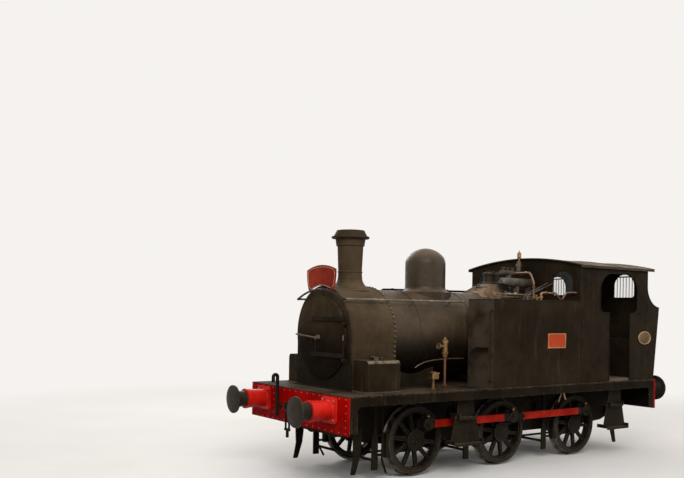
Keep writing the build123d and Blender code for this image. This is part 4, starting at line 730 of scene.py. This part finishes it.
# Buffer beams and sockets
BEAM_ROW_Y = 1240
BEAM_ROWS = (750, 1188)
BEAM_COLUMNS = (((-BEAM_ROW_Y, BEAM_ROW_Y), 825, 1110, 0.095), ((-610, 610, -540, 540), 835, 1105, 0.09))
SOCKET_BOLT = 128
SOCKET_BASE_THICK = 28.5
beam_spots = []
socket_spots = []
for face, out in zip(BEAM_FACES, (X, -X)):
    for h in BEAM_ROWS:
        row = along(at(face, -BEAM_ROW_Y, h), at(face, BEAM_ROW_Y, h), 0.155)
        beam_spots += [(p, out) for p in row]
    for columns, low, high, pitch in BEAM_COLUMNS:
        for y in columns:
            beam_spots += [(p, out) for p in along(at(face, y, low), at(face, y, high), pitch)]
    base = face - SOCKET_BASE_THICK * out.x
    for y in (-BUFFER_Y, BUFFER_Y):
        for dy in (-SOCKET_BOLT, SOCKET_BOLT):
            socket_spots += [(at(base, y + dy, BUFFER_Z + dh), out) for dh in (-SOCKET_BOLT, SOCKET_BOLT)]
rivets("beam_rivets", beam_spots, 15, "red_rivets")
bolts("socket_bolts", socket_spots, 19, "red_rivets")

# Smokebox, its door and the chimney
SMOKEBOX_RING = 1175
RING_START, RING_STOP, RING_STEPS = -2, 182, 32
RING_SIDE = (1270, 1900)
RING_PITCH = 0.07
STRAP_ROWS = (2225, 1712)
STRAP_BOLTS = ((-140, 310.4), (-60, 309.3), (220, 315.8), (320, 323.1), (430, 328.0))
CHIMNEY = 861
FLARE_R = 292
FLARE_Z = 2666
FLARE_OUT, FLARE_UP = 0.35, 0.937
FLARE_TURNS = range(54, 127, 12)
ring_spots = []
for k in range(RING_STEPS + 1):
    a = math.radians(RING_START + (RING_STOP - RING_START) * k / RING_STEPS)
    out = Vector((0, math.cos(a), math.sin(a)))
    ring_spots.append((at(SMOKEBOX_RING, SMOKEBOX_R * out.y, BOILER_Z + SMOKEBOX_R * out.z), out))
side_ends = [at(SMOKEBOX_RING, SMOKEBOX_HALF, h) for h in RING_SIDE]
side_run = along(*side_ends, RING_PITCH)
ring_spots += both_spots([(p, Y) for p in side_run])
rivets("smokebox_rivets", ring_spots, 21, "rivet_paint")

strap_spots = [(at(b, y, h), X) for h in STRAP_ROWS for y, b in STRAP_BOLTS]
rivets("strap_rivets", strap_spots, 9, "door_iron", body="door")

flare_spots = []
for turn in FLARE_TURNS:
    a = math.radians(turn)
    out = Vector((math.cos(a) * FLARE_OUT, math.sin(a) * FLARE_OUT, FLARE_UP)).normalized()
    flare_spots.append((at(CHIMNEY - FLARE_R * math.cos(a), FLARE_R * math.sin(a), FLARE_Z), out))
rivets("chimney_rivets", both_spots(flare_spots), 10, "rivet_paint")

# Headboard: a faded line round the edge of the bare board
BOARD = (
    (375, 2928), (250, 2966), (0, 2997), (-250, 2966), (-375, 2928), (-368, 2775),
    (-315, 2617), (-160, 2679), (0, 2700), (160, 2679), (315, 2617), (368, 2775),
)
BOARD_FACE = 349
BOARD_MIDDLE = 2800
inset = [at(BOARD_FACE, y * 0.94, BOARD_MIDDLE + (h - BOARD_MIDDLE) * 0.88) for y, h in BOARD]
board_line = rounded(inset, [900] * len(BOARD), closed=True)
tube("headboard_line", [board_line], 5, "board_rim", closed=True)

# Sandboxes: the flange round the base
FLANGE_OUT = 14
FLANGE_LOW, FLANGE_HIGH = FOOTPLATE + 0.5, FOOTPLATE + 16
inner = SMOKEBOX_HALF + 6
outer = SAND_OUTER_Y + FLANGE_OUT
flange = [
    ((SAND_FRONT - FLANGE_OUT, inner, FLANGE_LOW), (SAND_FRONT + 2, outer, FLANGE_HIGH)),
    ((SAND_REAR - 2, inner, FLANGE_LOW), (SAND_REAR + FLANGE_OUT, outer, FLANGE_HIGH)),
    ((SAND_FRONT, SAND_OUTER_Y - 2, FLANGE_LOW), (SAND_REAR, outer, FLANGE_HIGH)),
]
bars("sandbox_flange", both_boxes(flange), "worn_and_lit_edge")

# Tank and cab: edge beading, plate rivets
TANK_INNER_Y = 705
TANK_CORNER_R = 30
bead_b = TANK_FRONT + 4
corners = [(bead_b, TANK_INNER_Y), (bead_b, SIDE_Y - 2), (CAB_FRONT, SIDE_Y - 2)]
bead = rounded([at(b, y, TANK_TOP) for b, y in corners], [TANK_CORNER_R])
tube("tank_beading", both(bead), 9, "tank_paint")
corner = [at(bead_b, SIDE_Y - 3, h) for h in (FOOTPLATE + 4, TANK_TOP - 6)]
tube("tank_corner_bead", both(corner), 7, "tank_paint")
OPENING = (
    (5301, 1244), (5301, 2370), (5050, 2370), (5050, 3033),
    (6040, 3033), (6040, 2370), (5852, 2370), (5852, 1244),
)
OPENING_RADII = (0, 110, 290, 290, 110, 0)
rim = rounded([at(b, SIDE_Y + 1, h) for b, h in OPENING], OPENING_RADII)
tube("doorway_beading", both(rim), 9, "cab_paint")

# Rows of rivets: from, to and the pitch in metres
PLATE_ROWS = (
    ((2650, SIDE_Y, 1262), (4500, SIDE_Y, 1262), 0.11), ((2650, SIDE_Y, 2505), (4500, SIDE_Y, 2505), 0.11),
    ((2632, SIDE_Y, 1330), (2632, SIDE_Y, 2440), 0.11), ((4518, SIDE_Y, 1330), (4518, SIDE_Y, 2440), 0.11),
    ((4590, SIDE_Y, 1290), (4590, SIDE_Y, 3080), 0.12), ((6300, SIDE_Y, 1290), (6300, SIDE_Y, 2440), 0.12),
)
BUNKER_ROWS = (
    ((6538, -1215, 1290), (6672, -1215, 2420), 0.12), ((6538, 1215, 1290), (6672, 1215, 2420), 0.12),
    ((6536, -1110, 1262), (6536, 1110, 1262), 0.123),
)
plate_spots = [(p, Y) for start, end, pitch in PLATE_ROWS for p in along(at(*start), at(*end), pitch)]
rivets("plate_rivets", both_spots(plate_spots), 6, "tank_paint")
rear_spots = [(p, -X) for start, end, pitch in BUNKER_ROWS for p in along(at(*start), at(*end), pitch)]
rivets("bunker_rivets", rear_spots, 7, "cab_paint")

# Windows: a dark frame round each arched pane
WINDOW_R = 213
WINDOW_Z = 2857
WINDOW_BOTTOM = 2650
WINDOW_PAIRS = ((CAB_FRONT - 5, 889), (CAB_REAR + 6, 760))
frames = []
for b, ways in WINDOW_PAIRS:
    for y in (-ways, ways):
        foot = [at(b, y - WINDOW_R, WINDOW_BOTTOM), at(b, y + WINDOW_R, WINDOW_BOTTOM)]
        frames.append(arc(b, y, WINDOW_Z, WINDOW_R, 0, 180, 20) + foot)
tube("window_frames", frames, 8, "cab_paint", closed=True)

# Plates: raised rims and fixing screws, no lettering
NUMBER_PLATE = (3777, 4197, 1800, 2036)
RIM_IN = 9
SCREW_IN = 28
WORKS_PLATE = (6257, 1950)
WORKS_OVAL = (168, 106)
WORKS_SCREW = 138
face_y = SIDE_Y + 9
b0, b1, h0, h1 = NUMBER_PLATE
front, back, low, high = b0 + RIM_IN, b1 - RIM_IN, h0 + RIM_IN, h1 - RIM_IN
corners = ((front, low), (back, low), (back, high), (front, high))
rim = rounded([at(b, face_y, h) for b, h in corners], (8, 8, 8, 8), closed=True)
tube("number_plate_rims", both(rim), 6, "bright_brass", closed=True)
screws = [
    (at(b, face_y, h), Y)
    for b in (b0 + SCREW_IN, b1 - SCREW_IN) for h in (h0 + SCREW_IN, h1 - SCREW_IN)
]
turns = [2 * math.pi * k / 48 for k in range(48)]
works_b, works_z = WORKS_PLATE
face_y = SIDE_Y + 8
half_long, half_high = WORKS_OVAL
oval = [at(works_b + half_long * math.cos(a), face_y, works_z + half_high * math.sin(a)) for a in turns]
tube("works_plate_rims", both(oval), 8, "bright_brass", closed=True)
screws += [(at(works_b + dx, face_y, works_z), Y) for dx in (-WORKS_SCREW, WORKS_SCREW)]
rivets("plate_screws", both_spots(screws), 9, "bright_brass")

# Running gear: axle ends, crank pins and rods
AXLE_BOLTS_R = 50
AXLE_BOLT_TURNS = range(15, 360, 60)
PIN_CAP = ((36, -1), (36, 4), (30, 9), (12, 12))
OIL_CUP = ((16, -2), (16, 6), (24, 12), (24, 34), (14, 40), (9, 52))
ROD_PIN_END = ((30, -1), (30, 8), (24, 14), (10, 15))
OIL_CUP_UP = 90
ROD_JOINT_BACK = 210
COTTER_OUT = 68
for name, b in AXLES.items():
    body = "wheelset_" + name
    end_bolts = []
    pin_nuts = []
    for side, sign in SIDES.items():
        out = Y * sign
        for turn in AXLE_BOLT_TURNS:
            a = math.radians(turn)
            db, dh = AXLE_BOLTS_R * math.cos(a), AXLE_BOLTS_R * math.sin(a)
            end_bolts.append((at(b + db, AXLE_END_Y * sign, WHEEL_R + dh), out))
        a = math.radians(CRANK_ANGLE[side])
        place = at(b - CRANK_R * math.cos(a), PIN_END_Y * sign, WHEEL_R + CRANK_R * math.sin(a))
        pin_nuts.append((place, out))
    bolts("axle_bolts_" + name, end_bolts, 11, "underframe_paint", body)
    lathe("pin_caps_" + name, PIN_CAP, pin_nuts, "door_iron", body, sides=24)
for side, sign in SIDES.items():
    a = math.radians(CRANK_ANGLE[side])
    height = WHEEL_R + CRANK_R * math.sin(a)
    outer = ROD_FACE_Y * sign
    pins = [b - CRANK_R * math.cos(a) for b in AXLES.values()]
    cups = [(at(pin, ROD_Y * sign, height + OIL_CUP_UP), Z) for pin in pins]
    lathe("rod_oil_cups_" + side, OIL_CUP, cups, "brass", "rod_" + side, sides=14)
    joint = [(at(pins[1] + ROD_JOINT_BACK, outer, height), Y * sign)]
    lathe("rod_joint_" + side, ROD_PIN_END, joint, "door_iron", "rod_" + side, sides=20)
    cotters = [(at(pin + dx, outer, height), Y * sign) for pin in pins for dx in (-COTTER_OUT, COTTER_OUT)]
    bolts("rod_bolts_" + side, cotters, 9, "door_iron", "rod_" + side)

# Boiler fittings: valve nuts, wheels and pipes
wheel_b, wheel_y, wheel_z = CLACK_WHEEL
hubs = both_spots([(at(wheel_b, wheel_y, wheel_z), X)])
lathe("clack_wheels", ring_profile(CLACK_WHEEL_R, 6), hubs, "brass", sides=28, ring=True)
lathe("clack_wheel_hubs", ((14, -2), (14, 10), (9, 14)), hubs, "brass", sides=12)
spokes = []
middle = at(wheel_b - 3, wheel_y, wheel_z)
for k in range(4):
    a = math.radians(45 * k)
    reach = Vector((0, math.cos(a), math.sin(a))) * ((CLACK_WHEEL_R - 2) / 1000)
    spokes += both([middle - reach, middle + reach])
tube("clack_wheel_spokes", spokes, 4, "brass")


def on_clacks(*heights):
    """Upward-facing spots on both clack valves' axes."""
    return both_spots([(at(*CLACK, h), Z) for h in heights])


CLACK_NUTS = (1722, 1914)
FEED_UNIONS = (1262, 1690)
clack_nut = ((46, 0), (46, 20), (40, 24))
cap = ((26, 20), (26, 42), (15, 50), (15, 62))
union = ((33, -16), (36, -12), (36, 12), (33, 16))
lathe("clack_nuts", clack_nut, on_clacks(*CLACK_NUTS), "brass", sides=6, smooth=False)
lathe("clack_caps", cap, on_clacks(CLACK_NUTS[1]), "brass", sides=18)
lathe("feed_unions", union, on_clacks(*FEED_UNIONS), "brass", sides=6, smooth=False)
SIDE_PIPE_Y = 620
SIDE_PIPE = (
    (1619, 1517), (1676, 1553), (1811, 1601), (2007, 1626), (2207, 1637), (2411, 1640), (2598, 1637),
)
side_pipe = rounded([at(b, SIDE_PIPE_Y, h) for b, h in SIDE_PIPE], (400, 500, 900, 900, 900))
tube("side_pipe", both(side_pipe), 9, "copper")
OIL_CAPS = ((1672, 930, 1469), (1728, 930, 1469))
oil_caps = both_spots([(at(*place), Z) for place in OIL_CAPS])
lathe("oil_box_caps", ((15, -1), (15, 10), (9, 14)), oil_caps, "brass", sides=6, smooth=False)
UNIONS = (
    ((4000, 1000, TANK_TOP + 130), X), ((4180, 1000, TANK_TOP + 130), X),
    ((3890, 1000, TANK_TOP + 60), Z), ((4300, 300, 3030), Y), ((4300, 480, 2790), Z),
)
copper_nuts = [(at(*place), way) for place, way in UNIONS]
nut = ((25, -18), (29, -14), (29, 14), (25, 18))
lathe("pipe_unions", nut, copper_nuts, "brass", sides=6, smooth=False)

# Pipe over the right of the boiler, on short brackets
OVER_Y = -360
OVER_FRONT = (1725, 2688)
OVER_REAR = (CAB_FRONT - 6, 2706)
front_b, front_z = OVER_FRONT
rear_b, rear_z = OVER_REAR
OVER_END = (OVER_Y - 140, 2458)
OVER_RISE = 0.0064
BRACKET_FEET = {1950: 2562, 2750: 2562, 3120: 2562, 4250: 2585}
BRACKET_TOP = 2690
bend = [at(rear_b, OVER_Y, rear_z), at(front_b, OVER_Y, front_z), at(front_b, *OVER_END)]
tube("top_pipe", [rounded(bend, (60,))], 17, "door_iron")
brackets = [[at(b, OVER_Y + 14, foot), at(b, OVER_Y, BRACKET_TOP)] for b, foot in BRACKET_FEET.items()]
tube("top_pipe_brackets", brackets, 9, "door_iron")
collars = [(at(b, OVER_Y, front_z + (b - front_b) * OVER_RISE), X) for b in BRACKET_FEET]
lathe("top_pipe_collars", ((22, -14), (25, -11), (25, 11), (22, 14)), collars, "door_iron", sides=12)

# Small pipe along each tank top, clear of the open lid, with its flange
LOW_PIPE_Y = 722
LOW_PIPE = ((3370, 92), (3440, 112), (3600, 96), (4000, 52), (4080, 2))
low_pipe = [at(b, LOW_PIPE_Y, TANK_TOP + lift) for b, lift in LOW_PIPE]
tube("tank_top_pipe", both(rounded(low_pipe, (90, 220, 90))), 13, "bright_steel")
flanges = both_spots([(low_pipe[2], X)])
lathe("tank_top_flanges", ((32, -7), (34, -5), (34, 5), (32, 7)), flanges, "bright_brass", sides=14)

# Steps
STEP_MIDDLES = (2140, 5576)
STEP_FACE_Y = 1160
STEP_RIVETS = ((-110, 1050), (-110, 1010), (110, 1050), (110, 1010), (-215, 640), (215, 640))
step_spots = [(at(b + dx, STEP_FACE_Y, h), Y) for b in STEP_MIDDLES for dx, h in STEP_RIVETS]
rivets("step_rivets", both_spots(step_spots), 9, "step_paint")

# Stage, lights and camera
floor_mat = Shader("pale_floor")
floor_cloud = floor_mat.ramp(floor_mat.noise(0.6, 4), 0.3, 0.7)
floor_seen = floor_mat.mix(floor_cloud, (0.80, 0.775, 0.745), (0.83, 0.805, 0.775))
floor_rays = floor_mat.tree.nodes.new("ShaderNodeLightPath")
floor_colour = floor_mat.mix(floor_rays.outputs["Is Diffuse Ray"], floor_seen, (0.22, 0.21, 0.20))
far = floor_mat.tree.nodes.new("ShaderNodeVectorMath")
far.operation = "LENGTH"
floor_mat.link(floor_mat.place, far.inputs[0])
faded = floor_mat.times(floor_mat.ramp(far.outputs["Value"], 5.5, 15.0), floor_rays.outputs["Is Camera Ray"])
glow = floor_mat.tree.nodes.new("ShaderNodeEmission")
glow.inputs[0].default_value = BACKDROP
horizon = floor_mat.tree.nodes.new("ShaderNodeMixShader")
floor_mat.link(faded, horizon.inputs[0])
floor_mat.link(floor_mat.bsdf.outputs[0], horizon.inputs[1])
floor_mat.link(glow.outputs[0], horizon.inputs[2])
floor_mat.link(horizon.outputs[0], floor_mat.out.inputs[0])
floor_mesh = bpy.data.meshes.new("floor")
FLOOR_HALF = 60
FLOOR_Z = -0.0005
corners = [(x * FLOOR_HALF, y * FLOOR_HALF, FLOOR_Z) for x, y in ((-1, -1), (1, -1), (1, 1), (-1, 1))]
floor_mesh.from_pydata(corners, [], [(0, 1, 2, 3)])
floor = bpy.data.objects.new("floor", floor_mesh)
floor_mesh.materials.append(floor_mat.done(floor_colour, 0.8))
bpy.context.collection.objects.link(floor)

world = bpy.data.worlds.new("world")
bpy.context.scene.world = world
world.use_nodes = True
tree = world.node_tree
tree.nodes.clear()


def world_node(kind, *values):
    """A world shader node with its first inputs set, None where one keeps its default."""
    node = tree.nodes.new("ShaderNode" + kind)
    for k, value in enumerate(values):
        if value is not None:
            node.inputs[k].default_value = value
    return node


world_out = world_node("OutputWorld")
shown = world_node("Background", BACKDROP)
lit = world_node("Background", (0.95, 0.93, 0.90, 1))
# The sky's light is strongest from overhead, as under thin cloud
sky_way = world_node("TexCoord")
sky_split = world_node("SeparateXYZ")
sky_strength = world_node("MapRange", None, -0.1, 1.0, 0.30, 0.85)
tree.links.new(sky_way.outputs["Generated"], sky_split.inputs[0])
tree.links.new(sky_split.outputs[2], sky_strength.inputs[0])
tree.links.new(sky_strength.outputs[0], lit.inputs[1])
rays = world_node("LightPath")
seen = world_node("Math")
seen.operation = "MAXIMUM"
either = world_node("Math")
either.operation = "MAXIMUM"
tree.links.new(rays.outputs["Is Camera Ray"], seen.inputs[0])
tree.links.new(rays.outputs["Is Glossy Ray"], either.inputs[0])
tree.links.new(rays.outputs["Is Transmission Ray"], either.inputs[1])
tree.links.new(either.outputs[0], seen.inputs[1])
blend = world_node("MixShader")
tree.links.new(seen.outputs[0], blend.inputs[0])
tree.links.new(lit.outputs[0], blend.inputs[1])
tree.links.new(shown.outputs[0], blend.inputs[2])
tree.links.new(blend.outputs[0], world_out.inputs[0])


def area_light(name, place, target, size, power):
    """A soft lamp at a place, turned to its target."""
    data = bpy.data.lights.new(name, "AREA")
    data.shape = "RECTANGLE"
    data.size, data.size_y = size
    data.energy = power
    obj = bpy.data.objects.new(name, data)
    obj.location = place
    obj.rotation_euler = (Vector(target) - Vector(place)).to_track_quat("-Z", "Y").to_euler()
    bpy.context.collection.objects.link(obj)


area_light("key", (7, 9, 9), (0, 0, 1.5), (8, 5), 900)
area_light("fill", (-8, 8, 6), (0, 0, 1.5), (7, 5), 240)
area_light("back", (0, -10, 8), (0, 0, 1.5), (9, 5), 420)

# The photograph's viewpoint: its pixel sizes set the lens and the shift
PHOTO_WIDTH = 684
FOCAL_PIXELS = 804.934
SHIFT_PIXELS = 70.9
SENSOR = 36
CAMERA_PLACE = (-6034, 9714, 2329)
yaw, pitch, roll = -0.608, 0.002, 0.015
forward = Vector((math.sin(yaw) * math.cos(pitch), -math.cos(yaw) * math.cos(pitch), math.sin(pitch)))
right = forward.cross(Z).normalized()
upward = right.cross(forward)
tilted_right = right * math.cos(roll) + upward * math.sin(roll)
tilted_up = upward * math.cos(roll) - right * math.sin(roll)
camera_data = bpy.data.cameras.new("camera")
camera_data.sensor_width = SENSOR
camera_data.lens = FOCAL_PIXELS * SENSOR / PHOTO_WIDTH
camera_data.shift_y = SHIFT_PIXELS / PHOTO_WIDTH
camera = bpy.data.objects.new("camera", camera_data)
axes = Matrix((tilted_right, tilted_up, -forward)).transposed().to_4x4()
camera.matrix_world = Matrix.Translation(at(*CAMERA_PLACE)) @ axes
bpy.context.collection.objects.link(camera)
bpy.context.scene.camera = camera
bpy.context.scene.view_settings.view_transform = "Standard"
